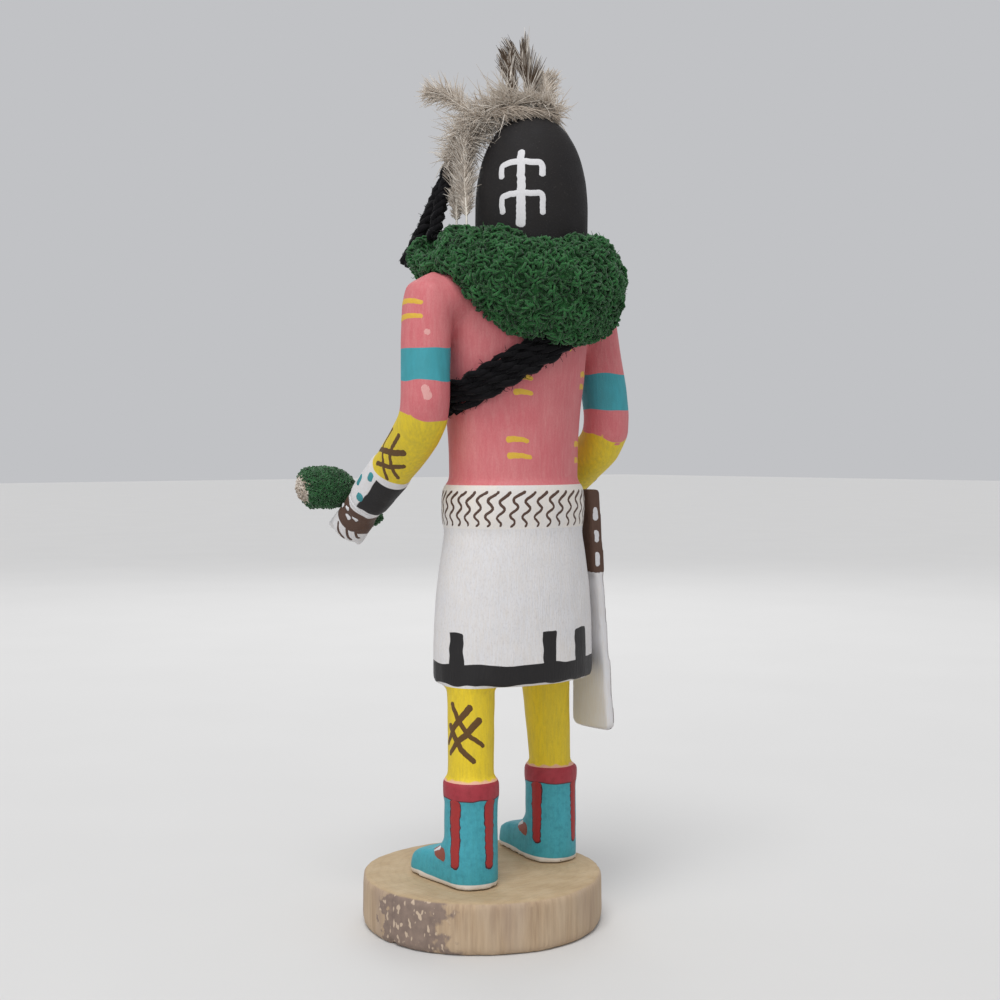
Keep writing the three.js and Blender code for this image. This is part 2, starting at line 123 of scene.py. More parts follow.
def frames_along(points: Sequence[Vector]) -> list[tuple[Vector, Vector, Vector]]:
    """Carries a cross direction along a route without twisting it.

    Args:
        points: The points of the route.

    Returns:
        For each point, its direction and two directions across it.
    """
    result, across = [], Vector((0.13, 0.29, 0.95))
    for i, _ in enumerate(points):
        along = (points[min(i + 1, len(points) - 1)] - points[max(i - 1, 0)]).normalized()
        across = (across - along * across.dot(along)).normalized()
        result.append((along, across.copy(), along.cross(across)))
    return result


class ShaderGraph:
    """One finish's node material, built from short calls on Object coordinates and attributes."""

    def __init__(self, name: str) -> None:
        """Starts a material with a plain surface shader."""
        self.material = bpy.data.materials.new(name)
        self.material.use_nodes = True
        self.tree = self.material.node_tree
        self.surface = self.tree.nodes["Principled BSDF"]
        self.place = self.tree.nodes.new("ShaderNodeTexCoord").outputs["Object"]
        parts = self.tree.nodes.new("ShaderNodeSeparateXYZ")
        self.tree.links.new(self.place, parts.inputs[0])
        self.x, self.y, self.z = parts.outputs

    def feed(self, socket: bpy.types.NodeSocket, value: object) -> None:
        """Links a socket to another, or sets its value."""
        if isinstance(value, bpy.types.NodeSocket):
            self.tree.links.new(value, socket)
        else:
            socket.default_value = value.linear() if isinstance(value, Tint) else value

    def maths(self, operation: str, first: object, second: object = 0.0) -> bpy.types.NodeSocket:
        """Does one sum on two values."""
        node = self.tree.nodes.new("ShaderNodeMath")
        node.operation = operation
        self.feed(node.inputs[0], first)
        self.feed(node.inputs[1], second)
        return node.outputs[0]

    def grain(self, size: float, stretch: Triple = (1, 1, 1), detail: float = 2.0, warp: float = 0.0) -> bpy.types.NodeSocket:
        """Adds cloudy noise.

        Args:
            size: The size of a patch, in millimetres.
            stretch: How many times longer a patch is along each axis.
            detail: How many finer layers lie on it.
            warp: How far the patches are swirled.

        Returns:
            A value from 0 to 1.
        """
        mapping = self.tree.nodes.new("ShaderNodeMapping")
        mapping.inputs["Scale"].default_value = [1 / (size * MM * s) for s in stretch]
        self.feed(mapping.inputs["Vector"], self.place)
        node = self.tree.nodes.new("ShaderNodeTexNoise")
        node.inputs["Scale"].default_value = 1.0
        node.inputs["Detail"].default_value = detail
        node.inputs["Distortion"].default_value = warp
        self.feed(node.inputs["Vector"], mapping.outputs[0])
        return node.outputs["Fac"]

    def waver(self, size: float, reach: float) -> bpy.types.NodeSocket:
        """Gives a slow wander of plus or minus the reach, as a hand-drawn edge has."""
        return self.ease(self.grain(size, detail=0), 0.28, 0.72, -reach, reach)

    def attribute(self, name: str) -> list[bpy.types.NodeSocket]:
        """Reads the three values that a mesh holds under a name."""
        node = self.tree.nodes.new("ShaderNodeAttribute")
        node.attribute_name = name
        parts = self.tree.nodes.new("ShaderNodeSeparateXYZ")
        self.feed(parts.inputs[0], node.outputs["Vector"])
        return list(parts.outputs)

    def ease(self, value: object, low: float, high: float, start: float = 0.0, end: float = 1.0) -> bpy.types.NodeSocket:
        """Turns the range low to high into start to end, and holds outside it."""
        node = self.tree.nodes.new("ShaderNodeMapRange")
        self.feed(node.inputs["Value"], value)
        for key, number in (("From Min", low), ("From Max", high), ("To Min", start), ("To Max", end)):
            node.inputs[key].default_value = number
        return node.outputs["Result"]

    def above(self, value: object, edge: float, soft: float) -> bpy.types.NodeSocket:
        """Gives 1 where the value is over the edge and 0 where it is under."""
        return self.ease(value, edge - soft, edge + soft)

    def under(self, value: object, edge: float, soft: float) -> bpy.types.NodeSocket:
        """Gives 1 where the value is under the edge and 0 where it is over."""
        return self.ease(value, edge - soft, edge + soft, 1.0, 0.0)

    def both(self, first: object, second: object) -> bpy.types.NodeSocket:
        """Gives 1 only where both masks do."""
        return self.maths("MULTIPLY", first, second)

    def blend(self, amount: object, first: object, second: object, how: str = "MIX") -> bpy.types.NodeSocket:
        """Lays the second colour over the first by an amount."""
        node = self.tree.nodes.new("ShaderNodeMix")
        node.data_type, node.blend_type = "RGBA", how
        self.feed(node.inputs[0], amount)
        self.feed(node.inputs[6], first)
        self.feed(node.inputs[7], second)
        return node.outputs[2]

    def finish(self, colour: object, rough: object, height: object = None, depth: float = 0.1, **numbers: float) -> bpy.types.Material:
        """Sends the colour, roughness and relief to the surface.

        Args:
            colour: The colour socket or tint.
            rough: The roughness socket or number.
            height: The relief, from 0 to 1, if there is one.
            depth: How deep the relief is, in millimetres.
            **numbers: Plain numbers for the shader's own sockets, by name with underscores.

        Returns:
            The material.
        """
        self.feed(self.surface.inputs["Base Color"], colour)
        self.feed(self.surface.inputs["Roughness"], rough)
        if height is not None:
            bump = self.tree.nodes.new("ShaderNodeBump")
            bump.inputs["Distance"].default_value = depth * MM
            bump.inputs["Strength"].default_value = 1.0
            self.feed(bump.inputs["Height"], height)
            self.feed(self.surface.inputs["Normal"], bump.outputs[0])
        for key, number in numbers.items():
            self.surface.inputs[key.replace("_", " ")].default_value = number
        return self.material


def add_object(name: str, mesh: bpy.types.Mesh, materials: Iterable[bpy.types.Material] = ()) -> bpy.types.Object:
    """Puts a mesh in the scene as a smooth-shaded piece at the origin.

    Args:
        name: The piece's name.
        mesh: Its mesh, in place.
        materials: Its materials, in slot order.

    Returns:
        The new object.
    """
    mesh.name = name
    for material in materials:
        mesh.materials.append(material)
    mesh.polygons.foreach_set("use_smooth", [True] * len(mesh.polygons))
    piece = bpy.data.objects.new(name, mesh)
    bpy.context.collection.objects.link(piece)
    return piece


def attach(piece: bpy.types.Object, slot: str, *nodes: str) -> bpy.types.Object:
    """Rides a piece on the doll's one body, hides the solids that it stands for, and reports it with its slot's name.
    """
    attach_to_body(piece, "root")
    if nodes:
        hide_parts(*nodes)
    LOG.info("%s: %d faces, finish %s", piece.name, len(piece.data.polygons), slot)
    return piece


def evaluated_mesh(piece: bpy.types.Object) -> bpy.types.Mesh:
    """Takes a temporary object's final mesh and removes the object."""
    bpy.context.view_layer.update()
    mesh = bpy.data.meshes.new_from_object(piece.evaluated_get(bpy.context.evaluated_depsgraph_get()))
    bpy.data.objects.remove(piece)
    return mesh


def carving(node: str, grid: float, passes: int, inset: float = 0.0) -> bmesh.types.BMesh:
    """Copies a solid as one even, softened skin.

    Args:
        node: The solid's name.
        grid: The size of a face, in millimetres.
        passes: How many times the skin is smoothed.
        inset: How far the skin is drawn in, in millimetres.

    Returns:
        The skin, in metres.
    """
    shape = bmesh.new()
    shape.from_mesh(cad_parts[node].data)
    bmesh.ops.remove_doubles(shape, verts=shape.verts, dist=1e-6)
    mesh = bpy.data.meshes.new("draft")
    shape.to_mesh(mesh)
    shape.free()
    draft = bpy.data.objects.new("draft", mesh)
    bpy.context.collection.objects.link(draft)
    remesh = draft.modifiers.new("skin", "REMESH")
    remesh.mode, remesh.voxel_size = "VOXEL", grid * MM
    skin = bmesh.new()
    skin.from_mesh(evaluated_mesh(draft))
    for _ in range(passes):
        bmesh.ops.smooth_vert(skin, verts=skin.verts, factor=0.5, use_axis_x=True, use_axis_y=True, use_axis_z=True)
    skin.normal_update()
    if inset:
        for vert in skin.verts:
            vert.co -= vert.normal * inset * MM
    return skin


def to_mesh(shape: bmesh.types.BMesh, name: str) -> bpy.types.Mesh:
    """Writes a shape to a new mesh and frees it."""
    mesh = bpy.data.meshes.new(name)
    shape.to_mesh(mesh)
    shape.free()
    return mesh


@dataclass
class Strand:
    """One fibre, ply or quill: its route in millimetres, its radii, its own shade, and how far up a feather it grows."""

    points: list[Vector]
    radii: list[float]
    shade: float = 0.5
    station: float = 0.0


def spin_strands(name: str, strands: Sequence[Strand], roundness: int = 0) -> bpy.types.Mesh:
    """Gives every strand a round body and joins them in one mesh.

    Args:
        name: The mesh's name.
        strands: The strands.
        roundness: 0 gives a strand four sides, 1 gives it six and 2 gives it eight.

    Returns:
        The mesh, in metres, whose attribute "fibre" holds each point's shade, its way from root to tip, and its station.
    """
    curve = bpy.data.curves.new(name, "CURVE")
    curve.dimensions, curve.bevel_depth, curve.bevel_resolution, curve.use_fill_caps = "3D", MM, roundness, True
    for strand in strands:
        spline = curve.splines.new("POLY")
        spline.points.add(len(strand.points) - 1)
        spline.points.foreach_set("co", [v for p in strand.points for v in (p.x * MM, p.y * MM, p.z * MM, 1.0)])
        spline.points.foreach_set("radius", strand.radii)
    draft = bpy.data.objects.new(name, curve)
    bpy.context.collection.objects.link(draft)
    mesh = evaluated_mesh(draft)
    sides = len(mesh.vertices) // sum(len(s.points) for s in strands)
    values = [(s.shade, i / (len(s.points) - 1), s.station) for s in strands for i in range(len(s.points)) for _ in range(sides)]
    if len(values) == len(mesh.vertices):
        fibre = mesh.attributes.new("fibre", "FLOAT_VECTOR", "POINT")
        fibre.data.foreach_set("vector", np.array(values, dtype=np.float32).ravel())
    return mesh


def scattered_spots(shape: bmesh.types.BMesh, count: int, rng: np.random.Generator) -> list[tuple[Vector, Vector]]:
    """Picks spots evenly over a skin.

    Args:
        shape: The skin, in metres.
        count: How many spots.
        rng: The seeded source of chance.

    Returns:
        Each spot and the direction out of the skin there, in millimetres.
    """
    bmesh.ops.triangulate(shape, faces=shape.faces)
    areas = np.array([f.calc_area() for f in shape.faces])
    marks = (np.arange(count) + rng.random(count)) / count * areas.sum()
    shape.faces.ensure_lookup_table()
    spots = []
    for index in np.searchsorted(np.cumsum(areas), marks):
        face = shape.faces[min(int(index), len(shape.faces) - 1)]
        u, v = rng.random(2)
        u, v = (1 - u, 1 - v) if u + v > 1 else (u, v)
        a, b, c = (w.co for w in face.verts)
        normal = sum((w.normal for w in face.verts), Vector()).normalized()
        spots.append(((a + (b - a) * u + (c - a) * v) / MM, normal))
    return spots


def random_direction(rng: np.random.Generator) -> Vector:
    """Gives a direction with no bias."""
    return Vector(rng.normal(size=3)).normalized()


@dataclass(frozen=True)
class PaintFinish:
    """Hand-brushed matt paint: its tint, a second tint in its streaks, and how rough it dries."""

    name: str
    tint: Tint
    streak: Tint
    streak_share: float = 0.35
    rough: float = 0.62

    def graph(self) -> tuple[ShaderGraph, bpy.types.NodeSocket, bpy.types.NodeSocket]:
        """Lays the brushed colour.

        Returns:
            The graph, the colour and the relief that further layers build on.
        """
        graph = ShaderGraph(self.name)
        streaks = graph.grain(0.8, (1, 1, 7), 3)
        clouds = graph.grain(9, (1, 1, 1.6), 3)
        tooth = graph.grain(0.32, (1, 1, 1.8), 1)
        colour = graph.blend(graph.ease(streaks, 0.42, 0.72, 0, self.streak_share), self.tint, self.streak)
        colour = graph.blend(graph.ease(clouds, 0.35, 0.75, 0, self.streak_share), colour, self.streak)
        colour = graph.blend(graph.ease(tooth, 0.3, 0.7, 0.0, 0.16), colour, (0.02, 0.02, 0.02, 1.0), "SOFT_LIGHT")
        relief = graph.maths("ADD", graph.maths("MULTIPLY", streaks, 0.6), graph.maths("MULTIPLY", tooth, 0.5))
        return graph, colour, relief

    def material(self) -> bpy.types.Material:
        """Makes the plain one-paint material."""
        graph, colour, relief = self.graph()
        return graph.finish(colour, self.rough, relief, 0.12, Specular_IOR_Level=0.35)


@dataclass
class Stroke:
    """One stroke of a brush, as points on the surface in millimetres, its width at start, middle and end, and its build."""

    points: Sequence[Triple]
    width: float
    start: float = 1.0
    end: float = 1.0
    build: float = 0.09
    blunt: float = 0.35


@dataclass
class Brush:
    """Lays strokes of thick paint on a skin."""

    skin: BVHTree
    step: float = 0.45

    def lay(self, shape: bmesh.types.BMesh, stroke: Stroke) -> None:
        """Adds one stroke, which hugs the skin and has round ends.

        Args:
            shape: The mesh that the stroke joins.
            stroke: The stroke.
        """
        route = smooth_route(stroke.points, self.step)
        length = self.step * (len(route) - 1)
        rows = 5
        grid = bmesh.ops.create_grid(shape, x_segments=len(route) - 1, y_segments=rows - 1, size=1)["verts"]
        normals = [self.skin.find_nearest(mm(p))[1] for p in route]
        for vert in grid:
            index = min(len(route) - 1, max(0, int(round((vert.co.x + 1) / 2 * (len(route) - 1)))))
            along = route[min(index + 1, len(route) - 1)] - route[max(index - 1, 0)]
            side = normals[index].cross(along).normalized()
            share = index / (len(route) - 1)
            radius = stroke.width / 2 * (stroke.start + (stroke.end - stroke.start) * share)
            gap = min(index, len(route) - 1 - index) * self.step
            reach = min(radius * (1 - 0.75 * stroke.blunt), length / 2)
            if gap < reach and reach > 0:
                radius *= max(0.1, 1 - (1 - gap / reach) ** 2.4) ** 0.5
            wander = noise.noise(route[index] * 0.9) * 0.1 * stroke.width
            guess = route[index] + side * (vert.co.y * radius + wander)
            spot, normal, _, _ = self.skin.find_nearest(mm(guess))
            edge = abs(vert.co.y) ** 3
            ends = 1.0 if index not in (0, len(route) - 1) else 0.0
            vert.co = spot + normal * stroke.build * MM * (0.12 + 0.88 * (1 - edge) * ends)
            vert.index = index

    def paint(self, name: str, strokes: Iterable[Stroke], material: bpy.types.Material) -> bpy.types.Object:
        """Lays a set of strokes in one paint as one piece."""
        shape = bmesh.new()
        for stroke in strokes:
            self.lay(shape, stroke)
        bmesh.ops.recalc_face_normals(shape, faces=shape.faces)
        shape.normal_update()
        for face in shape.faces:
            spot, normal, _, _ = self.skin.find_nearest(face.calc_center_median())
            if face.normal.dot(normal) < 0:
                face.normal_flip()
        return add_object(name, to_mesh(shape, name), [material])


class Zone(Enum):
    """The painted areas of the carving, as material slots."""

    BOOT = 0
    LEG = 1
    KILT = 2
    BELT = 3
    FLESH = 4
    MASK = 5


@dataclass
class Arm:
    """One arm's middle line from shoulder to wrist, its palm and which way is inward, in millimetres."""

    route: Sequence[Triple]
    palm: Triple
    inward: int

    def measure(self, spots: np.ndarray) -> tuple[np.ndarray, np.ndarray, np.ndarray]:
        """Finds where each spot lies on the arm.

        Args:
            spots: The spots, one row each, in millimetres.

        Returns:
            The distance from the middle line; the way along it and the turn round it in degrees; and the
            place from the palm along the hand, across it and out of the palm.
        """
        line = smooth_route(self.route, 1.5)
        points = np.array(line)
        ways = np.gradient(points, axis=0)
        ways /= np.linalg.norm(ways, axis=1)[:, None]
        nearest = np.argmin(((spots[:, None, :] - points[None]) ** 2).sum(2), axis=1)
        away = spots - points[nearest]
        along = ways[nearest]
        forward = (away * along).sum(1)
        run = nearest * 1.5 + forward
        away = away - along * forward[:, None]
        outer = np.array([-self.inward, 0.0, 0.0])
        up = np.cross(along, outer) * -self.inward
        turn = np.degrees(np.arctan2((away * up).sum(1), away @ outer))
        hand_along = np.array([0.02 * self.inward, -0.78, -0.62])
        hand_along /= np.linalg.norm(hand_along)
        out = np.array([0.718 * self.inward, -0.415, 0.545])
        out -= hand_along * (out @ hand_along)
        out /= np.linalg.norm(out)
        grip = np.cross(hand_along, out)
        reach = spots - np.array(self.palm)
        hand = np.stack([reach @ hand_along, reach @ grip, reach @ out], axis=1)
        distance = np.sqrt(((spots[:, None, :] - points[None]) ** 2).sum(2).min(1))
        return distance, np.stack([run, turn], axis=1), hand


LEFT_ARM = Arm(
    [(25, 8, 196), (27.6, 8.4, 183), (29, 9.2, 167), (28.8, 8.4, 154), (27.8, 0, 145.6), (26.8, -13, 136), (27.4, -26, 125.5)],
    (27.6, -29, 122),
    -1,
)
RIGHT_ARM = Arm(
    [(-36.8, 8, 193.5), (-39.4, 8.6, 179), (-40.8, 11.4, 162), (-41.2, 11.4, 148.5), (-41, 2.6, 140.4), (-40.8, -10, 131), (-41, -22, 121.5)],
    (-41.2, -25.4, 118),
    1,
)


@dataclass
class CarvedFigure:
    """The body, arms, boots and mask, carved in one piece and painted in areas."""

    grid: float = 0.92
    body_axis: tuple[float, float] = (-6.2, 7.6)
    sole: float = 17.1
    boot_band: float = 40.4
    boot_tops: tuple[float, float] = (46.45, 45.05)
    boots_part: float = -6.0
    heels: Sequence[tuple[float, float]] = ((13.2, 10.7), (-24.6, 3.9))
    hem_low: float = 75.0
    hem_high: float = 81.2
    kilt_low: float = 74.3
    belt_low: float = 120.7
    belt_high: float = 133.5
    chin: float = 203.6
    bars: Sequence[tuple[float, float]] = ((10.2, 4.9), (82.8, 5.1), (123, 6.5), (185.6, 4.6), (252, 4.6), (288, 4.6), (330, 4.6))
    bar_top: float = 90.4
    left_band: tuple[float, float] = (163.9, 173.3)
    right_band: tuple[float, float] = (156.7, 168.0)
    elbow_left: float = 42.0
    elbow_right: float = 45.0
    cuff_start: float = 66.0
    cuff_end: float = 82.5
    skin: BVHTree | None = None
    piece: bpy.types.Object | None = None

    def build(self) -> bpy.types.Object:
        """Carves the figure, measures its painted areas and dresses it.

        Returns:
            The figure.
        """
        shape = carving("carved_figure", self.grid, 2)
        broad = [v for v in shape.verts if not (v.co.y < -0.014 and v.co.z > 0.09) and v.co.z > 0.05]
        for _ in range(7):
            bmesh.ops.smooth_vert(shape, verts=broad, factor=0.5, use_axis_x=True, use_axis_y=True, use_axis_z=True)
        toes = [v for v in shape.verts if 0.0182 < v.co.z < 0.03 and min((v.co.xy / MM - Vector(heel)).length for heel in self.heels) > 8.3]
        for _ in range(18):
            bmesh.ops.smooth_vert(shape, verts=toes, factor=0.5, use_axis_x=True, use_axis_y=True, use_axis_z=True)
        shape.normal_update()
        for vert in shape.verts:
            vert.co += vert.normal * 0.16 * MM * noise.noise(vert.co * 160)
        for height in (*self.boot_tops, self.kilt_low, self.belt_low, self.belt_high, self.chin):
            everything = shape.verts[:] + shape.edges[:] + shape.faces[:]
            bmesh.ops.bisect_plane(shape, geom=everything, dist=1e-7, plane_co=(0, 0, height * MM), plane_no=(0, 0, 1))
        self.skin = BVHTree.FromBMesh(shape)
        mesh = to_mesh(shape, "figure_carving")
        self.measure(mesh)
        self.piece = add_object("figure_carving", mesh, self.finishes())
        attach(self.piece, "painted_wood", "carved_figure")
        return self.piece

    def measure(self, mesh: bpy.types.Mesh) -> None:
        """Writes each point's place on the arms, hands and kilt, and gives each face its zone."""
        spots = np.empty(len(mesh.vertices) * 3, dtype=np.float32)
        mesh.vertices.foreach_get("co", spots)
        spots = spots.reshape(-1, 3).astype(float) / MM
        arm, hand, near = np.zeros_like(spots), np.zeros_like(spots), np.zeros(len(spots), dtype=bool)
        for side, limb in ((1.0, LEFT_ARM), (-1.0, RIGHT_ARM)):
            distance, place, reach = limb.measure(spots)
            mine = ((distance < 9.2) | ((spots[:, 1] < -12) & (distance < 18))) & (spots[:, 2] > 95) & (spots[:, 2] < 203)
            arm[mine] = np.column_stack([place, np.full(len(spots), side)])[mine]
            hand[mine] = reach[mine]
            near |= mine
        turn = np.degrees(np.arctan2(spots[:, 1] - self.body_axis[1], spots[:, 0] - self.body_axis[0]))
        radius = np.hypot(spots[:, 1] - self.body_axis[1], spots[:, 0] - self.body_axis[0])
        bars = np.full(len(spots), 99.0)
        for middle, width in self.bars:
            off = np.abs((turn - middle + 180) % 360 - 180)
            bars = np.minimum(bars, np.maximum(np.radians(off) * radius - width / 2, spots[:, 2] - self.bar_top))
        kilt = np.column_stack([bars, turn, radius])
        for name, values in (("arm", arm), ("hand", hand), ("kilt", kilt)):
            layer = mesh.attributes.new(name, "FLOAT_VECTOR", "POINT")
            layer.data.foreach_set("vector", values.astype(np.float32).ravel())
        for face in mesh.polygons:
            height, corner = face.center.z / MM, face.vertices[0]
            if height > self.chin:
                zone = Zone.MASK
            elif near[corner] or height > self.belt_high:
                zone = Zone.FLESH
            elif height > self.belt_low:
                zone = Zone.BELT
            elif height > self.kilt_low:
                zone = Zone.KILT
            else:
                top = self.boot_tops[0 if face.center.x / MM > self.boots_part else 1]
                zone = Zone.LEG if height > top else Zone.BOOT
            face.material_index = zone.value

    def finishes(self) -> list[bpy.types.Material]:
        """Makes the materials in the order of the zones."""
        return [self.boot(), self.leg(), self.kilt(), self.belt(), self.flesh(), self.mask()]

    def boot(self) -> bpy.types.Material:
        """Turquoise with a white sole and a red band at the top."""
        graph, colour, relief = PaintFinish("boot_paint", Tint.TURQUOISE, Tint.TEAL, 0.3).graph()
        left = graph.above(graph.x, self.boots_part * MM, 0.0001)
        height = graph.maths("SUBTRACT", graph.z, graph.maths("MULTIPLY", left, (self.boot_tops[0] - self.boot_tops[1]) * MM))
        height = graph.maths("ADD", height, graph.waver(5, 0.0003))
        low = graph.maths("ADD", graph.z, graph.waver(7, 0.00022))
        colour = graph.blend(graph.above(height, (self.boot_band - 0.35) * MM, 0.0001), colour, Tint.RED_DARK)
        colour = graph.blend(graph.above(height, self.boot_band * MM, 0.0001), colour, Tint.RED)
        colour = graph.blend(graph.ease(graph.grain(1.6, detail=3), 0.45, 0.8, 0, 0.35), colour, (0.02, 0.015, 0.02, 1), "SOFT_LIGHT")
        colour = graph.blend(graph.under(low, self.sole * MM, 0.0001), colour, Tint.WHITE_WARM)
        specks = graph.both(graph.above(graph.grain(0.9, detail=1), 0.72, 0.02), graph.under(graph.z, 0.0166, 0.0002))
        colour = graph.blend(graph.both(specks, 0.6), colour, Tint.BROWN)
        return graph.finish(colour, 0.55, relief, 0.12, Specular_IOR_Level=0.4)

    def leg(self) -> bpy.types.Material:
        """Yellow, thinner and redder where the brush met the boot."""
        graph, colour, relief = PaintFinish("leg_paint", Tint.YELLOW, Tint.YELLOW_ARM, 0.5).graph()
        left = graph.above(graph.x, self.boots_part * MM, 0.0001)
        low = graph.maths("SUBTRACT", graph.z, graph.maths("MULTIPLY", left, 0.0014))
        low = graph.maths("ADD", low, graph.waver(2.5, 0.0004))
        colour = graph.blend(graph.both(graph.under(low, 0.0457, 0.0002), 0.8), colour, Tint.PINK_PALE)
        colour = graph.blend(graph.ease(graph.grain(1.1, (1, 1, 2), 3), 0.55, 0.85, 0, 0.14), colour, Tint.BROWN_WARM)
        return graph.finish(colour, 0.58, relief, 0.14, Specular_IOR_Level=0.35)

    def kilt(self) -> bpy.types.Material:
        """White with upright brush grain, and a black hem with bars that rise from it."""
        graph = ShaderGraph("kilt_paint")
        grain = graph.grain(0.42, (1, 1, 9), 3)
        speckle = graph.grain(0.5, (1, 1, 1.6), 2)
        colour = graph.blend(graph.ease(grain, 0.38, 0.7, 0, 0.34), Tint.WHITE, Tint.DOWN)
        colour = graph.blend(graph.ease(speckle, 0.5, 0.8, 0, 0.3), colour, (0.35, 0.33, 0.33, 1))
        colour = graph.blend(graph.ease(graph.grain(16), 0.4, 0.75, 0, 0.25), colour, Tint.WHITE_WARM)
        bars, _, _ = graph.attribute("kilt")
        wobble = graph.waver(3.2, 0.22)
        bar = graph.under(graph.maths("ADD", bars, wobble), 0.0, 0.07)
        height = graph.maths("ADD", graph.z, graph.waver(6, 0.0004))
        hem = graph.under(height, self.hem_high * MM, 0.00007)
        black = graph.both(graph.maths("MAXIMUM", bar, hem), graph.above(height, self.hem_low * MM, 0.00007))
        dark = graph.blend(graph.ease(graph.grain(1.6, (1, 1, 3)), 0.35, 0.8, 0, 0.25), Tint.BLACK, Tint.BLACK_SOFT)
        colour = graph.blend(black, colour, dark)
        relief = graph.maths("ADD", grain, graph.both(black, 0.6))
        return graph.finish(colour, graph.ease(black, 0, 1, 0.7, 0.5), relief, 0.16, Specular_IOR_Level=0.3)

    def belt(self) -> bpy.types.Material:
        """Warm white for the belt, under its brown lines."""
        return PaintFinish("belt_paint", Tint.WHITE_WARM, Tint.WHITE, 0.5, 0.66).material()

    def flesh(self) -> bpy.types.Material:
        """Pink body, turquoise bands, yellow forearms, black and white cuffs, and brown and white hands."""
        graph, colour, relief = PaintFinish("flesh_paint", Tint.PINK, Tint.PINK_PALE, 0.2).graph()
        blotch = graph.ease(graph.grain(5, detail=4, warp=0.4), 0.62, 0.8, 0, 0.22)
        colour = graph.blend(blotch, colour, Tint.PINK_PALE)
        run, turn, side = graph.attribute("arm")
        along, _, out = graph.attribute("hand")
        left, right = graph.above(side, 0.5, 0.05), graph.under(side, -0.5, 0.05)
        limb = graph.maths("MAXIMUM", left, right)
        wobble = graph.waver(8, 0.5)
        height = graph.maths("ADD", graph.maths("MULTIPLY", graph.z, 1000.0), graph.maths("MULTIPLY", wobble, 0.8))
        for arm, (low, high) in ((left, self.left_band), (right, self.right_band)):
            band = graph.both(graph.above(height, low, 0.08), graph.under(height, high, 0.08))
            band = graph.both(band, arm)
            colour = graph.blend(band, colour, graph.blend(graph.grain(2, (1, 1, 3)), Tint.TEAL, Tint.TURQUOISE))
        way = graph.maths("ADD", run, graph.maths("MULTIPLY", wobble, 1.2))
        sleeve = graph.blend(graph.ease(graph.grain(0.9, (1, 1, 4), 3), 0.25, 0.7, 0.1, 0.9), Tint.YELLOW, Tint.YELLOW_ARM)
        for arm, edge in ((left, self.elbow_left), (right, self.elbow_right)):
            colour = graph.blend(graph.both(arm, graph.above(way, edge, 0.1)), colour, sleeve)
        cuff = graph.both(limb, graph.above(way, self.cuff_start, 0.1))
        white = graph.blend(graph.ease(graph.grain(1.2), 0.4, 0.8, 0, 0.35), Tint.WHITE, Tint.DOWN)
        colour = graph.blend(cuff, colour, white)
        edge = graph.waver(3, 0.35)
        panel = graph.both(graph.above(run, self.cuff_start + 1.9, 0.1), graph.under(graph.maths("ADD", run, edge), self.cuff_end - 0.6, 0.1))
        slant = graph.maths("ADD", turn, graph.maths("MULTIPLY", edge, 8.0))
        panel = graph.both(panel, graph.both(graph.under(slant, -26.0, 1.0), graph.above(slant, -160.0, 1.0)))
        colour = graph.blend(graph.both(limb, panel), colour, Tint.BLACK)
        back = graph.both(graph.above(graph.maths("ADD", along, edge), -7.6, 0.1), graph.under(graph.maths("ADD", along, edge), 0.4, 0.1))
        back = graph.both(graph.both(back, graph.under(out, 1.6, 0.15)), graph.both(limb, graph.above(run, self.cuff_end, 0.2)))
        colour = graph.blend(back, colour, Tint.BROWN)
        return graph.finish(colour, 0.6, relief, 0.14, Specular_IOR_Level=0.35)

    def mask(self) -> bpy.types.Material:
        """Matt black, rubbed greyer in soft patches."""
        graph = ShaderGraph("mask_paint")
        clouds = graph.grain(7, detail=4, warp=0.3)
        tooth = graph.grain(0.4, detail=2)
        colour = graph.blend(graph.ease(clouds, 0.35, 0.8, 0, 0.6), Tint.BLACK, Tint.BLACK_SOFT)
        colour = graph.blend(graph.ease(tooth, 0.62, 0.8, 0, 0.25), colour, (0.12, 0.11, 0.1, 1))
        return graph.finish(colour, graph.ease(clouds, 0.3, 0.7, 0.62, 0.8), tooth, 0.1, Specular_IOR_Level=0.25)


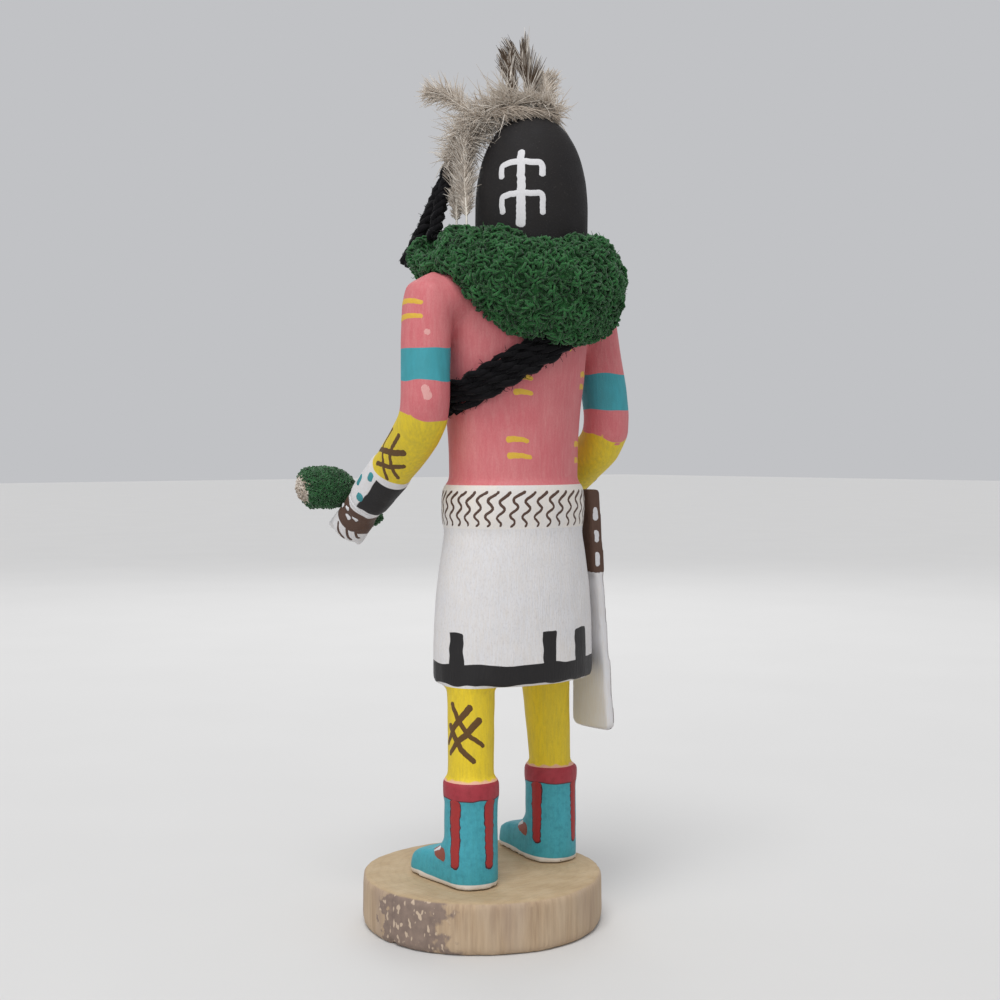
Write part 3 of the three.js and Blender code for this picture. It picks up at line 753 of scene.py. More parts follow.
@dataclass
class PaintedDesigns:
    """The brush strokes that stand on the figure: the marks, lines and hatchings, with one piece for each paint."""

    figure: CarvedFigure

    def dress(self) -> None:
        """Lays every stroke, paint by paint, from the lowest to the highest."""
        brush = Brush(self.figure.skin)
        sets = (
            ("boot_stripe_edges", self.boot_stripes(4.9, 0.08), Tint.RED_DARK),
            ("boot_stripes", self.boot_stripes(4.1, 0.16), Tint.RED_BRIGHT),
            ("instep_wedges", self.insteps(), Tint.RUST),
            # The white strokes also hold the painted highlights on the instep wedges.
            ("white_strokes", self.symbol() + self.face_whites() + self.hand_whites() + self.instep_painted_highlights(), Tint.WHITE),
            ("yellow_marks", self.body_marks(), Tint.MARK),
            ("belt_lines", self.belt_lines(), Tint.BROWN),
            ("brown_hatching", self.hatchings(), Tint.BROWN_WARM),
            ("hand_lines", self.hand_lines(), Tint.BROWN),
            ("cuff_ovals", self.ovals(), Tint.TEAL),
            ("paint_rubs", self.rubs(), Tint.PINK_PALE),
            ("face_reds", self.face_reds(), Tint.RED),
        )
        for name, strokes, tint in sets:
            finish = PaintFinish(name + "_paint", tint, tint, 0.0, 0.5).material()
            attach(brush.paint(name, strokes, finish), "painted_wood")

    def boot_stripes(self, width: float, build: float) -> list[Stroke]:
        """Runs stripes down each boot from its band."""
        strokes = []
        for centre, turns in (((13.2, 10.7), (14, 95, 176)), ((-24.6, 3.9), (14, 113, 195))):
            for turn in turns:
                way = Vector((math.cos(math.radians(turn)), math.sin(math.radians(turn)), 0)) * 9
                low = 21.6 - (width - 4.1) * 0.4
                heights = (41.6 if centre[0] > 0 else 40.6, 34, 27, low)
                strokes.append(Stroke([(centre[0] + way.x, centre[1] + way.y, z) for z in heights], width, 1.0, 0.72, build))
        return strokes

    def insteps(self) -> list[Stroke]:
        """Puts a red wedge at the front of each ankle."""
        strokes = []
        for x, y, side in ((13.2, 10.7, 1), (13.2, 10.7, -1), (-25.6, 3.9, 1), (-25.6, 3.9, -1)):
            strokes.append(Stroke([(x + side * 8.2, y - 2.5, 24.6), (x + side * 7.4, y - 6.5, 24.8), (x + side * 4, y - 10, 26)], 4.4, 1.0, 0.5, 0.1))
        return strokes

    def instep_painted_highlights(self) -> list[Stroke]:
        """Edges each wedge with a painted highlight in white."""
        strokes = []
        for x, y, side in ((13.2, 10.7, 1), (13.2, 10.7, -1), (-25.6, 3.9, 1), (-25.6, 3.9, -1)):
            strokes.append(Stroke([(x + side * 7.6, y - 5.4, 26.6), (x + side * 7.5, y - 7.4, 25.8), (x + side * 7.3, y - 9.4, 25.0)], 1.5, 1.0, 0.6, 0.24))
        return strokes

    def symbol(self) -> list[Stroke]:
        """The stem and two hooked bars on the back of the mask."""
        return [
            Stroke([(1.7, 20.1, 233.0), (2.5, 21.0, 228.0), (3.1, 21.7, 222.0), (3.3, 21.9, 216.0), (3.3, 21.9, 209.6)], 2.5, 0.85, 1.2, 0.1),
            Stroke([(5.7, 16.1, 224.2), (5.4, 15.7, 228.0), (4.0, 18.3, 229.1), (2.4, 20.9, 229.2), (0.2, 23.4, 229.1), (-1.9, 25.1, 228.6), (-1.9, 25.6, 224.6)], 1.9, 1.0, 1.0, 0.1, 0.7),
            Stroke([(6.0, 17.0, 213.6), (6.1, 16.6, 218.3), (4.9, 19.3, 219.5), (3.3, 21.9, 219.7), (1.1, 24.3, 219.6), (-1.4, 26.0, 219.2), (-1.5, 26.1, 213.2)], 1.9, 1.0, 0.9, 0.1, 0.7),
        ]

    def on_mask(self, turn: float, height: float) -> Triple:
        """Gives a point just off the mask at a turn from straight ahead of the face."""
        angle = math.radians(220 + turn)
        return (-10.2 + 18.5 * math.cos(angle), 11.2 + 18.5 * math.sin(angle), height)

    def face_whites(self) -> list[Stroke]:
        """Plain eye bars and the lines that close the face at each side."""
        strokes = [Stroke([self.on_mask(side * 32, 228), self.on_mask(side * 14, 228)], 3.6, 1, 1, 0.2) for side in (-1, 1)]
        for side in (-1, 1):
            strokes.append(Stroke([self.on_mask(side * 74, z) for z in (232, 225, 217, 209)], 0.9, 0.6, 1.0))
        return strokes

    def face_reds(self) -> list[Stroke]:
        """A short upright line on each cheek."""
        return [Stroke([self.on_mask(side * 40, 220), self.on_mask(side * 40, 211)], 1.8) for side in (-1, 1)]

    def body_marks(self) -> list[Stroke]:
        """Pairs of short yellow strokes on the back, chest and upper arms."""
        pairs = [
            ((7.8, 20.4, 147.0), (1.1, 23.0, 146.4)), ((7.4, 20.4, 142.2), (0.1, 23.2, 141.6)),
            ((6.5, 22.0, 165.4), (0.6, 24.0, 164.8)), ((6.4, 22.0, 160.9), (0.4, 24.0, 160.4)),
            ((-20.6, 21.3, 166.9), (-25.4, 19.0, 166.6)), ((-20.8, 21.2, 163.1), (-25.6, 18.6, 162.8)),
            ((-19.0, 20.9, 145.6), (-24.0, 18.4, 145.2)), ((-19.4, 20.6, 140.6), (-24.4, 18.0, 140.2)),
            ((-7.2, 25.3, 174.6), (-14.9, 24.3, 174.2)),
            ((34.6, 2.0, 186.6), (33.0, 13.4, 186.2)), ((35.0, 2.6, 181.6), (33.4, 13.8, 182.2)),
            ((-46.6, 3.0, 183.0), (-45.0, 13.0, 182.6)), ((-47.0, 3.6, 178.4), (-45.6, 13.4, 178.6)),
            ((6.0, -9.0, 147.0), (0.0, -10.5, 146.6)), ((6.0, -9.0, 142.4), (0.0, -10.5, 142.0)),
            ((-12.0, -10.5, 147.0), (-18.0, -9.0, 146.6)), ((-12.0, -10.5, 142.4), (-18.0, -9.0, 142.0)),
            ((-12.0, -10.5, 167.0), (-18.5, -9.0, 166.6)), ((-12.0, -10.5, 162.4), (-18.5, -9.0, 162.0)),
        ]
        return [Stroke([a, tuple((Vector(a) + Vector(b)) / 2 + Vector((0, 0, 0.4))), b], 2.0, 1.0, 0.6, 0.06) for a, b in pairs]

    def belt_lines(self) -> list[Stroke]:
        """Wavy lines all the way round the belt, each with a hook at the top."""
        strokes = []
        count, axis = 37, self.figure.body_axis
        for line in range(count):
            turn = 2 * math.pi * line / count
            points = []
            for n in range(13):
                share = n / 12
                lean = (0.95 * math.sin(share * 4.9 * math.pi + 0.5 * math.sin(line * 2.3)) + 2.2 * (0.5 - share) + (1.9, 0.7, 0)[min(n, 2)]) / 22
                angle = turn + lean
                points.append((axis[0] + 26 * math.cos(angle), axis[1] + 20 * math.sin(angle), 132.6 - 11.6 * share - (0.3 if n == 0 else 0)))
            strokes.append(Stroke(points, 0.84, 1.25, 0.85))
        return strokes

    def hatchings(self) -> list[Stroke]:
        """Two pairs of crossed strokes on the outside of each calf and forearm."""
        calf = [
            Stroke([(17.5, 16.4, 69.3), (19.2, 14.4, 66.3), (20.2, 11.6, 63.1), (20.1, 9.5, 60.0), (19.4, 7.6, 57.0)], 2.1, 1.0, 0.7),
            Stroke([(14.9, 17.5, 65.6), (16.9, 16.6, 63.4), (18.4, 15.4, 61.2), (20.1, 11.9, 57.7), (19.9, 8.9, 54.2)], 2.3, 1.0, 0.6),
            Stroke([(20.2, 10.2, 70.0), (19.6, 13.5, 64.0), (18.0, 15.8, 60.7), (16.1, 17.0, 58.9), (13.6, 17.7, 57.1)], 2.5, 0.7, 0.5),
            Stroke([(20.2, 9.0, 63.6), (19.8, 12.8, 57.8), (18.3, 15.3, 54.7), (16.4, 16.8, 52.5)], 2.5, 0.9, 0.6),
        ]
        forearm = [
            Stroke([(33.6, -9.6, 144.4), (34.1, -4.2, 143.9), (34.3, 1.0, 142.9), (33.0, 5.1, 142.8)], 2.4, 0.6, 1.0),
            Stroke([(33.9, -9.4, 140.2), (33.7, -6.0, 139.6), (33.3, -2.8, 138.6), (30.8, 2.1, 138.6)], 2.5, 0.6, 0.7),
            Stroke([(35.2, 0.6, 150.6), (34.2, -4.2, 147.2), (33.6, -5.4, 144.4), (34.2, -5.1, 141.5), (31.2, -6.4, 134.9)], 2.1, 0.6, 0.5),
            Stroke([(35.4, 5.3, 148.5), (34.5, -0.2, 143.9), (33.6, -1.9, 140.4), (29.1, -3.6, 135.2)], 2.3, 0.6, 0.5),
        ]
        far_calf = [Stroke([(-12.4 - p[0], p[1] - 12.8, p[2] + 2) for p in s.points], s.width, s.start, s.end) for s in calf]
        far_arm = [Stroke([(-13.4 - p[0], p[1] + 2.8, p[2] - 4.8) for p in s.points], s.width, s.start, s.end) for s in forearm]
        return calf + forearm + far_calf + far_arm

    def hand_whites(self) -> list[Stroke]:
        """Four small wedges on the back of each hand and a rim at the wrist."""
        wedges = [((31.3, -29.6, 127.6), (32.2, -28.2, 126.4)), ((33.0, -26.0, 126.8), (33.2, -24.4, 125.4)),
                  ((31.9, -26.8, 124.4), (31.7, -25.4, 122.6)), ((31.9, -23.9, 123.6), (31.0, -22.8, 121.4))]
        rim = Stroke([(32.4, -24.4, 130.0), (32.9, -22.6, 128.2), (32.2, -20.8, 126.2), (30.8, -20.0, 124.7), (27.8, -19.5, 123.4)], 1.3, 0.8, 1.0, 0.3)
        left = [Stroke([a, b], 1.9, 0.35, 1.0, 0.3) for a, b in wedges] + [rim]
        return left + [Stroke([(-13.6 - p[0], p[1] + 3.6, p[2] - 4) for p in s.points], s.width, s.start, s.end, 0.3) for s in left]

    def hand_lines(self) -> list[Stroke]:
        """Brown lines between the fingers."""
        left = [Stroke([(32.6, -30.6, 122.0), (31.2, -31.6, 119.0), (29.6, -31.0, 116.8)], 0.8),
                Stroke([(31.4, -28.0, 119.8), (29.8, -29.4, 117.2), (28.2, -29.4, 115.8)], 0.9),
                Stroke([(29.6, -25.8, 118.6), (28.0, -27.2, 116.6), (26.4, -27.2, 115.8)], 0.9),
                Stroke([(33.0, -31.6, 126.0), (32.2, -29.0, 121.4), (30.2, -27.0, 118.9), (28.2, -24.2, 119.4)], 0.8)]
        return left + [Stroke([(-13.6 - p[0], p[1] + 3.6, p[2] - 4) for p in s.points], s.width) for s in left]

    def ovals(self) -> list[Stroke]:
        """Turquoise ovals on the white of each cuff."""
        left = [Stroke([(33.2, -17.2, 136.6), (33.2, -19.4, 133.4)], 2.2, 1.0, 1.0, 0.22),
                Stroke([(33.8, -10.9, 137.0), (33.8, -12.8, 134.6)], 2.3, 1.0, 1.0, 0.22),
                Stroke([(33.2, -17.0, 130.6), (33.2, -19.0, 128.8)], 2.6, 1.0, 1.0, 0.22)]
        return left + [Stroke([(-13.4 - p[0], p[1] + 3.6, p[2] - 4.4) for p in s.points], s.width, 1, 1, 0.22) for s in left]

    def rubs(self) -> list[Stroke]:
        """Pale places where the pink has rubbed thin."""
        return [Stroke([(32.7, 14.6, 178.6), (32.4, 14.9, 176.8)], 2.0, 1.0, 0.8, 0.03),
                Stroke([(33.6, 14.6, 162.6), (33.2, 15.2, 160.4), (32.6, 15.4, 158.2)], 2.8, 0.8, 1.0, 0.03)]


@dataclass
class BaseSlice:
    """The slice of branch that the doll stands on."""

    radius: float = 36.3
    height: float = 15.3
    stain: tuple[float, float] = (-3.0, 34.0)
    notch: Triple = (36.4, 2.3, 0.0)

    def build(self) -> bpy.types.Object:
        """Shapes the slice from its solid, with a worn edge and a nick in the lower rim.

        Returns:
            The slice.
        """
        shape = carving("base_slice", 1.15, 3)
        for vert in shape.verts:
            spot = vert.co / MM
            out = Vector((spot.x, spot.y, 0)).normalized()
            rim = min(1.0, max(0.0, math.hypot(spot.x, spot.y) - 33))
            vert.co += out * MM * rim * 0.35 * (noise.noise(Vector((spot.x * 0.12, spot.y * 0.12, spot.z * 0.05))) - 0.3)
            away = math.hypot(spot.x - self.notch[0], spot.y - self.notch[1]) / 2.0 + max(0, spot.z) / 3.2
            if away < 1:
                vert.co += (-out * 1.3 + Vector((0, 0, 0.9))) * MM * (1 - away)
        piece = add_object("base_wood", to_mesh(shape, "base_wood"), [self.finish()])
        return attach(piece, "sawn_wood", "base_slice")

    def finish(self) -> bpy.types.Material:
        """Sawn wood: faint rings and saw lines on top, upright grain and a patch of bark stain on the side."""
        graph = ShaderGraph("sawn_wood")
        top = graph.above(graph.z, (self.height - 0.55) * MM, 0.0002)
        wander = graph.ease(graph.grain(14, detail=3), 0.2, 0.8, -0.0022, 0.0022)
        x = graph.maths("ADD", graph.x, 0.006)
        y = graph.maths("SUBTRACT", graph.y, 0.004)
        far = graph.maths("SQRT", graph.maths("ADD", graph.both(x, x), graph.both(y, y)))
        far = graph.maths("ADD", far, wander)
        rings = graph.maths("SINE", graph.maths("MULTIPLY", far, 2 * math.pi / 0.0024))
        face = graph.blend(graph.ease(rings, 0.2, 1.0, 0, 0.22), Tint.WOOD, (0.33, 0.235, 0.14, 1))
        face = graph.blend(graph.ease(graph.grain(7, detail=4), 0.4, 0.75, 0, 0.4), face, (0.62, 0.5, 0.34, 1))
        saw = graph.grain(0.5, (14, 1, 1), 2)
        face = graph.blend(graph.ease(saw, 0.45, 0.75, 0, 0.28), face, (0.3, 0.22, 0.14, 1))
        face = graph.blend(graph.ease(graph.grain(0.35, detail=1), 0.6, 0.8, 0, 0.3), face, (0.2, 0.14, 0.09, 1))
        grain = graph.grain(0.9, (1, 1, 16), 4)
        broad = graph.grain(6, (1, 1, 5), 3)
        side = graph.blend(graph.ease(grain, 0.35, 0.75, 0, 0.55), (0.47, 0.34, 0.22, 1), (0.24, 0.16, 0.105, 1))
        side = graph.blend(graph.ease(broad, 0.4, 0.7, 0, 0.7), side, (0.56, 0.44, 0.31, 1))
        side = graph.blend(graph.ease(graph.grain(11, (1, 1, 4)), 0.5, 0.75, 0, 0.5), side, (0.3, 0.225, 0.19, 1))
        turn = graph.maths("ARCTAN2", graph.y, graph.x)
        rough = graph.ease(graph.grain(3.2, detail=4), 0.3, 0.7, -0.16, 0.16)
        turn = graph.maths("ADD", turn, rough)
        stain = graph.both(graph.above(turn, math.radians(self.stain[0]), 0.02), graph.under(turn, math.radians(self.stain[1]), 0.05))
        spots = graph.above(graph.grain(1.5, (1, 1, 1.7), 1), 0.63, 0.02)
        bark = graph.blend(graph.ease(graph.grain(2.4, detail=3), 0.3, 0.8), (0.17, 0.125, 0.11, 1), (0.27, 0.2, 0.165, 1))
        bark = graph.blend(spots, bark, (0.56, 0.44, 0.33, 1))
        side = graph.blend(graph.both(stain, 0.88), side, bark)
        colour = graph.blend(top, side, face)
        relief = graph.blend(top, grain, saw)
        return graph.finish(colour, 0.72, relief, 0.22, Specular_IOR_Level=0.3)


@dataclass
class HipSash:
    """The flat white sash that hangs at the right hip, brown at its top."""

    brown_low: float = 105.5
    marks: Sequence[tuple[float, float]] = ((126.2, 122.0), (118.9, 115.0), (112.0, 107.6))

    def build(self) -> bpy.types.Object:
        """Softens the sash's solid and paints its marks.

        Returns:
            The sash.
        """
        shape = carving("hip_sash", 0.68, 3)
        for vert in shape.verts:
            vert.co += Vector((noise.noise(vert.co * 90) * 0.15, noise.noise(vert.co * 60 + Vector((7, 0, 0))) * 0.25, 0)) * MM
        shape.normal_update()
        brush = Brush(BVHTree.FromBMesh(shape))
        piece = add_object("sash_board", to_mesh(shape, "sash_board"), [self.finish()])
        attach(piece, "painted_panel", "hip_sash")
        whites = [Stroke([(-33.4 - 0.05 * i, 18.5, top), (-33.5 - 0.05 * i, 19, low)], 2.5, 1, 1, 0.2) for i, (top, low) in enumerate(self.marks)]
        whites += [Stroke([(-30, 6.5, top), (-30, 6.5, low)], 2.2, 1, 1, 0.2) for top, low in self.marks]
        white = PaintFinish("sash_mark_paint", Tint.WHITE, Tint.WHITE, 0.0, 0.5).material()
        attach(brush.paint("sash_marks", whites, white), "painted_panel")
        edge = [Stroke([(-37.5, 17.6, 105), (-37.9, 18.2, 90), (-38.3, 19.0, 74), (-38.7, 19.6, 58)], 1.0, 1, 0.8, 0.08), Stroke([(-37.4, 18.6, 56.2), (-36.6, 12, 55.6), (-36.6, 5, 55.6)], 0.9, 1, 0.7, 0.08)]
        brown = PaintFinish("sash_edge_paint", Tint.BROWN, Tint.BROWN, 0.0, 0.5).material()
        attach(brush.paint("sash_edge", edge, brown), "painted_panel")
        return piece

    def finish(self) -> bpy.types.Material:
        """White with upright grain below, and brown above."""
        graph = ShaderGraph("sash_paint")
        grain = graph.grain(0.5, (1, 1, 9), 3)
        colour = graph.blend(graph.ease(grain, 0.4, 0.72, 0, 0.32), Tint.WHITE, Tint.DOWN)
        colour = graph.blend(graph.ease(graph.grain(5, (1, 1, 2)), 0.45, 0.75, 0, 0.1), colour, (0.45, 0.43, 0.42, 1))
        height = graph.maths("ADD", graph.z, graph.ease(graph.grain(2), 0.3, 0.7, -0.0003, 0.0003))
        brown = graph.blend(graph.ease(graph.grain(2.2, (1, 1, 3)), 0.35, 0.75, 0, 0.5), Tint.BROWN, (0.12, 0.07, 0.05, 1))
        colour = graph.blend(graph.above(height, self.brown_low * MM, 0.0001), colour, brown)
        return graph.finish(colour, 0.66, grain, 0.16, Specular_IOR_Level=0.3)


@dataclass(frozen=True)
class WoolFinish:
    """Fuzzy wool: its tint, its lit and shaded tints, and how far it sheens."""

    name: str
    tint: Tint
    light: Tint
    dark: Tint
    sheen: float = 0.35
    size: float = 2.6

    def material(self) -> bpy.types.Material:
        """Makes the wool."""
        graph = ShaderGraph(self.name)
        shade, way, _ = graph.attribute("fibre")
        colour = graph.blend(graph.ease(graph.grain(self.size, detail=3), 0.35, 0.7), self.dark, self.tint)
        colour = graph.blend(graph.ease(shade, 0.55, 1.0, 0, 0.7), colour, self.light)
        colour = graph.blend(graph.ease(graph.grain(0.5, detail=1), 0.5, 0.8, 0, 0.5), colour, self.light)
        return graph.finish(
            colour, 0.9, graph.grain(0.3, detail=1), 0.1, Sheen_Weight=self.sheen, Sheen_Roughness=0.5, Specular_IOR_Level=0.15
        )


@dataclass
class YarnRuff:
    """The thick ruff of curly green yarn round the neck."""

    curls: int = 6300
    wisps: int = 2200
    thirds: tuple[float, float] = (-21.0, -5.0)
    lock: Sequence[Triple] = ((12.2, -5.4, 218.6), (14, -5, 213), (15.8, -4.4, 207.6), (16.6, -4.2, 205.4))
    rng: np.random.Generator = field(default_factory=lambda: np.random.default_rng(7))

    def build(self) -> None:
        """Makes the ruff's lumpy heart and covers it with curls and wisps."""
        shape = carving("yarn_ruff", 1.35, 3, 0.8)
        locks, toward = smooth_route(self.lock, 1.0), Vector((0.643, 0.766, 0))
        for vert in shape.verts:
            vert.co += vert.normal * MM * (1.6 * noise.noise(vert.co * 165) + 0.8 * noise.noise(vert.co * 330))
            lock = min(locks, key=lambda spot: (vert.co.z / MM - spot.z) ** 2)
            gap = vert.co / MM - lock
            ahead = gap.dot(toward)
            aside = (gap - toward * ahead).length
            if ahead > -3 and aside < 5.5:
                vert.co -= toward * MM * (ahead + 3) * (1 - (aside / 5.5) ** 2)
        shape.normal_update()
        spots = scattered_spots(shape.copy(), self.curls, self.rng)
        wisps = scattered_spots(shape.copy(), self.wisps, self.rng)
        finish = WoolFinish("green_wool", Tint.GREEN, Tint.GREEN_PALE, Tint.GREEN_DARK, 0.18, 3.4).material()
        core = add_object("ruff_heart", to_mesh(shape, "ruff_heart"), [finish])
        attach(core, "green_yarn", "yarn_ruff")
        shares: list[list[Strand]] = [[], [], []]
        for spot, normal in spots:
            shares[sum(spot.x > edge for edge in self.thirds)].append(self.curl(spot, normal))
        for name, strands in zip(("right", "middle", "left"), shares):
            attach(add_object("ruff_curls_" + name, spin_strands("ruff_curls_" + name, strands), [finish]), "green_yarn")
        fuzz = [self.wisp(spot, normal) for spot, normal in wisps]
        attach(add_object("ruff_fuzz", spin_strands("ruff_fuzz", fuzz), [finish]), "green_yarn")

    def curl(self, spot: Vector, normal: Vector) -> Strand:
        """Bends one loop of yarn that stands out of the ruff and leans with its neighbours.

        Args:
            spot: Where it grows, in millimetres.
            normal: The direction out of the ruff.

        Returns:
            The curl.
        """
        rng = self.rng
        size = 0.85 + 0.6 * rng.random()
        clump = noise.noise_vector(spot * 0.24)
        tip = (normal + clump * 0.8 + random_direction(rng) * 0.6).normalized()
        side = tip.cross(noise.noise_vector(spot * 0.3 + Vector((9, 0, 0))) + random_direction(rng) * 0.5).normalized()
        drift = tip.cross(side) * (rng.random() - 0.5) * 3.0
        points = []
        for n in range(7):
            angle = -1.1 + n / 6 * 6.0
            rise = size * (1 - math.cos(angle)) * 0.8 - 0.5
            points.append(spot + tip * rise + side * size * math.sin(angle) + drift * (n / 6 - 0.5))
        shade = min(1.0, max(0.0, 0.45 + 0.7 * noise.noise(spot * 0.4) + 0.16 * rng.normal()))
        return Strand(points, [0.28, 0.39, 0.44, 0.45, 0.44, 0.38, 0.23], shade)

    def wisp(self, spot: Vector, normal: Vector) -> Strand:
        """Lets one fine hair stray from the ruff.

        Args:
            spot: Where it grows, in millimetres.
            normal: The direction out of the ruff.

        Returns:
            The hair.
        """
        rng = self.rng
        lean, turn = random_direction(rng) * 0.8, random_direction(rng)
        reach = 0.75 + 0.75 * rng.random()
        points = [spot, spot + (normal + lean * 0.5) * reach * 0.6, spot + (normal * 0.9 + lean) * reach, spot + (normal * 0.8 + lean + turn * 0.5) * reach * 1.2]
        return Strand(points, [0.12, 0.11, 0.09, 0.03], 0.3 + 0.5 * rng.random())


@dataclass
class YarnCord:
    """A loose cord of black yarn, twisted from plies, with fibres that stray from it."""

    route: list[Vector]
    radius: float
    seed: int
    pitch: float = 8.0
    plies: int = 3
    fuzz_per_mm: float = 5.0
    closed: bool = False

    def strands(self) -> list[Strand]:
        """Twists the plies and lets the fibres stray.

        Returns:
            The plies and fibres.
        """
        rng = np.random.default_rng(self.seed)
        frames = frames_along(self.route)
        step = (self.route[1] - self.route[0]).length
        result = []
        thin = self.radius * 0.6
        for ply in range(self.plies):
            points, radii = [], []
            for i, (spot, (_, across, up)) in enumerate(zip(self.route, frames)):
                angle = 2 * math.pi * (ply / self.plies + i * step / self.pitch)
                offset = self.radius * 0.5 * (1 + 0.3 * noise.noise(spot * 0.35 + Vector((ply * 5, 0, 0))))
                angle += 0.7 * noise.noise(spot * 0.12 + Vector((0, 3, ply)))
                points.append(spot + across * math.cos(angle) * offset + up * math.sin(angle) * offset)
                radii.append(thin * (1 + 0.22 * noise.noise(spot * 0.8 + Vector((0, ply * 7, 3)))))
            if not self.closed:
                radii[0] *= 0.7
                radii[-1] *= 0.7
            result.append(Strand(points, radii, 0.2 + 0.2 * ply))
        for _ in range(int(self.fuzz_per_mm * step * len(self.route))):
            index = int(rng.integers(1, len(self.route) - 1))
            along, across, up = frames[index]
            angle = rng.random() * 2 * math.pi
            out = across * math.cos(angle) + up * math.sin(angle)
            start = self.route[index] + out * self.radius * 0.75
            lean = (along * rng.normal() + random_direction(rng) * 0.6).normalized()
            reach = 0.6 + 1.0 * rng.random()
            points = [start, start + out * 0.35 * reach + lean * 0.5 * reach, start + out * 0.35 * reach + lean * 1.2 * reach]
            result.append(Strand(points, [0.11, 0.09, 0.04], 0.3 * rng.random()))
        return result


@dataclass
class Bandolier:
    """The band of four black yarn cords from the right shoulder to under the left arm."""

    route: Sequence[Triple] = (
        (18.4, 7, 159), (16, 18.5, 163), (8, 25.2, 169), (-4, 27.8, 175.5), (-16, 25.6, 183.5), (-25.5, 19, 191.5),
        (-29.5, 9, 197), (-27.5, -2.5, 192), (-19.5, -10, 184), (-7, -12.6, 173), (6, -10.4, 164), (15.5, -3, 159),
    )
    centre: Triple = (-6, 8, 172)
    half_width: float = 5.1
    cord_radius: float = 1.65
    cords: int = 4

    def build(self) -> bpy.types.Object:
        """Lays the cords side by side across the band.

        Returns:
            The band.
        """
        middle = smooth_route(self.route, 1.1, closed=True)
        strands = []
        for cord in range(self.cords):
            offset = (cord / (self.cords - 1) * 2 - 1) * (self.half_width - self.cord_radius)
            line = []
            for i, spot in enumerate(middle):
                along = (middle[(i + 1) % (len(middle) - 1)] - middle[i - 1 if i else -2]).normalized()
                out = (spot - Vector(self.centre) - along * along.dot(spot - Vector(self.centre))).normalized()
                across = along.cross(out)
                sway = 0.35 * noise.noise(Vector((i * 0.06, cord * 3.1, 0)))
                line.append(spot + across * (offset + sway) + out * 0.35 * noise.noise(Vector((i * 0.09, cord * 5.3, 4))))
            strands += YarnCord(line, self.cord_radius, 20 + cord, 10.0 + 1.7 * cord, 2, 3.5, True).strands()
        finish = WoolFinish("black_wool", Tint.YARN_BLACK, Tint.BLACK, Tint.YARN_BLACK, 0.04).material()
        return attach(add_object("bandolier_cords", spin_strands("bandolier_cords", strands), [finish]), "black_yarn", "bandolier")


@dataclass
class HairStrands:
    """The two black yarn strands that hang from under the feathers."""

    long_route: Sequence[Triple] = (
        (3.4, -6.2, 238), (5, -7, 235), (6.5, -8, 231.3), (8.4, -9.5, 225.3), (10.6, -10.9, 219.2),
        (13.2, -12.4, 212.4), (15.8, -13.8, 206.2), (18.3, -15.2, 200.8),
    )
    short_route: Sequence[Triple] = (
        (6, -2.6, 236.4), (7, -3.8, 233.4), (8.4, -4.8, 229.2), (10.2, -5.4, 224.2), (12.2, -5.4, 218.6),
        (14, -5, 213), (15.8, -4.4, 207.6),
    )
    radius: float = 1.7

    def build(self) -> None:
        finish = WoolFinish("hair_wool", Tint.YARN_BLACK, Tint.BLACK, Tint.YARN_BLACK, 0.04).material()
        for name, route, seed in (("long", self.long_route, 3), ("short", self.short_route, 4)):
            line = smooth_route(route, 1.0)
            strands = YarnCord(line, self.radius * 1.28, seed, 9.0, 3, 7.0).strands()
            piece = add_object("hair_" + name, spin_strands("hair_" + name, strands), [finish])
            attach(piece, "black_yarn", "hair_strand_" + name)


class Vane(Enum):
    """How a feather's barbs lie."""

    CLOSED = 0.2
    LOOSE = 0.8
    WILD = 1.5


@dataclass
class Feather:
    """One feather: its quill's route, the half width and kind of its vane, and its bare share, in millimetres."""

    name: str
    node: str
    route: Sequence[Triple]
    half_width: float
    facing: Triple
    vane: Vane
    bare: float
    seed: int

    def strands(self) -> tuple[list[Strand], list[Strand]]:
        """Grows barbs from both sides of the quill.

        Returns:
            The quill and the barbs.
        """
        rng = np.random.default_rng(self.seed)
        line = smooth_route(self.route, 0.2)
        count = len(line)
        frames = frames_along(line)
        quill = Strand(line[::3], [0.3 * (1 - 0.85 * i / len(line[::3])) + 0.05 for i in range(len(line[::3]))])
        barbs = []
        loose = self.vane.value
        for i in range(int(count * self.bare), count):
            share = (i / count - self.bare) / (1 - self.bare)
            along = frames[i][0]
            across = along.cross(Vector(self.facing)).normalized()
            out = across.cross(along)
            full = self.half_width * min(1.0, 0.45 + 2.0 * share, 2.4 * (1.0 - share) + 0.35)
            for side in (-1, 1):
                for _ in range(2 if self.vane is Vane.CLOSED else 3):
                    spread = 0.3 if self.vane is Vane.CLOSED else 0.8
                    lean = across * side * (spread + 0.3 * loose * rng.normal()) + along + out * 0.25 * (0.3 + loose) * rng.normal()
                    lean.normalize()
                    reach = full / max(0.4, spread) * (0.85 + 0.3 * rng.random() + 0.2 * loose * rng.random())
                    bend = (along * 0.25 + random_direction(rng) * loose * 0.8 + across * side * 0.1) * reach
                    points = [line[i] + lean * reach * t + bend * t * t * 0.5 for t in (0, 0.35, 0.7, 1.0)]
                    barbs.append(Strand(points, [0.15, 0.15, 0.11, 0.04], rng.random(), share))
        return [quill], barbs


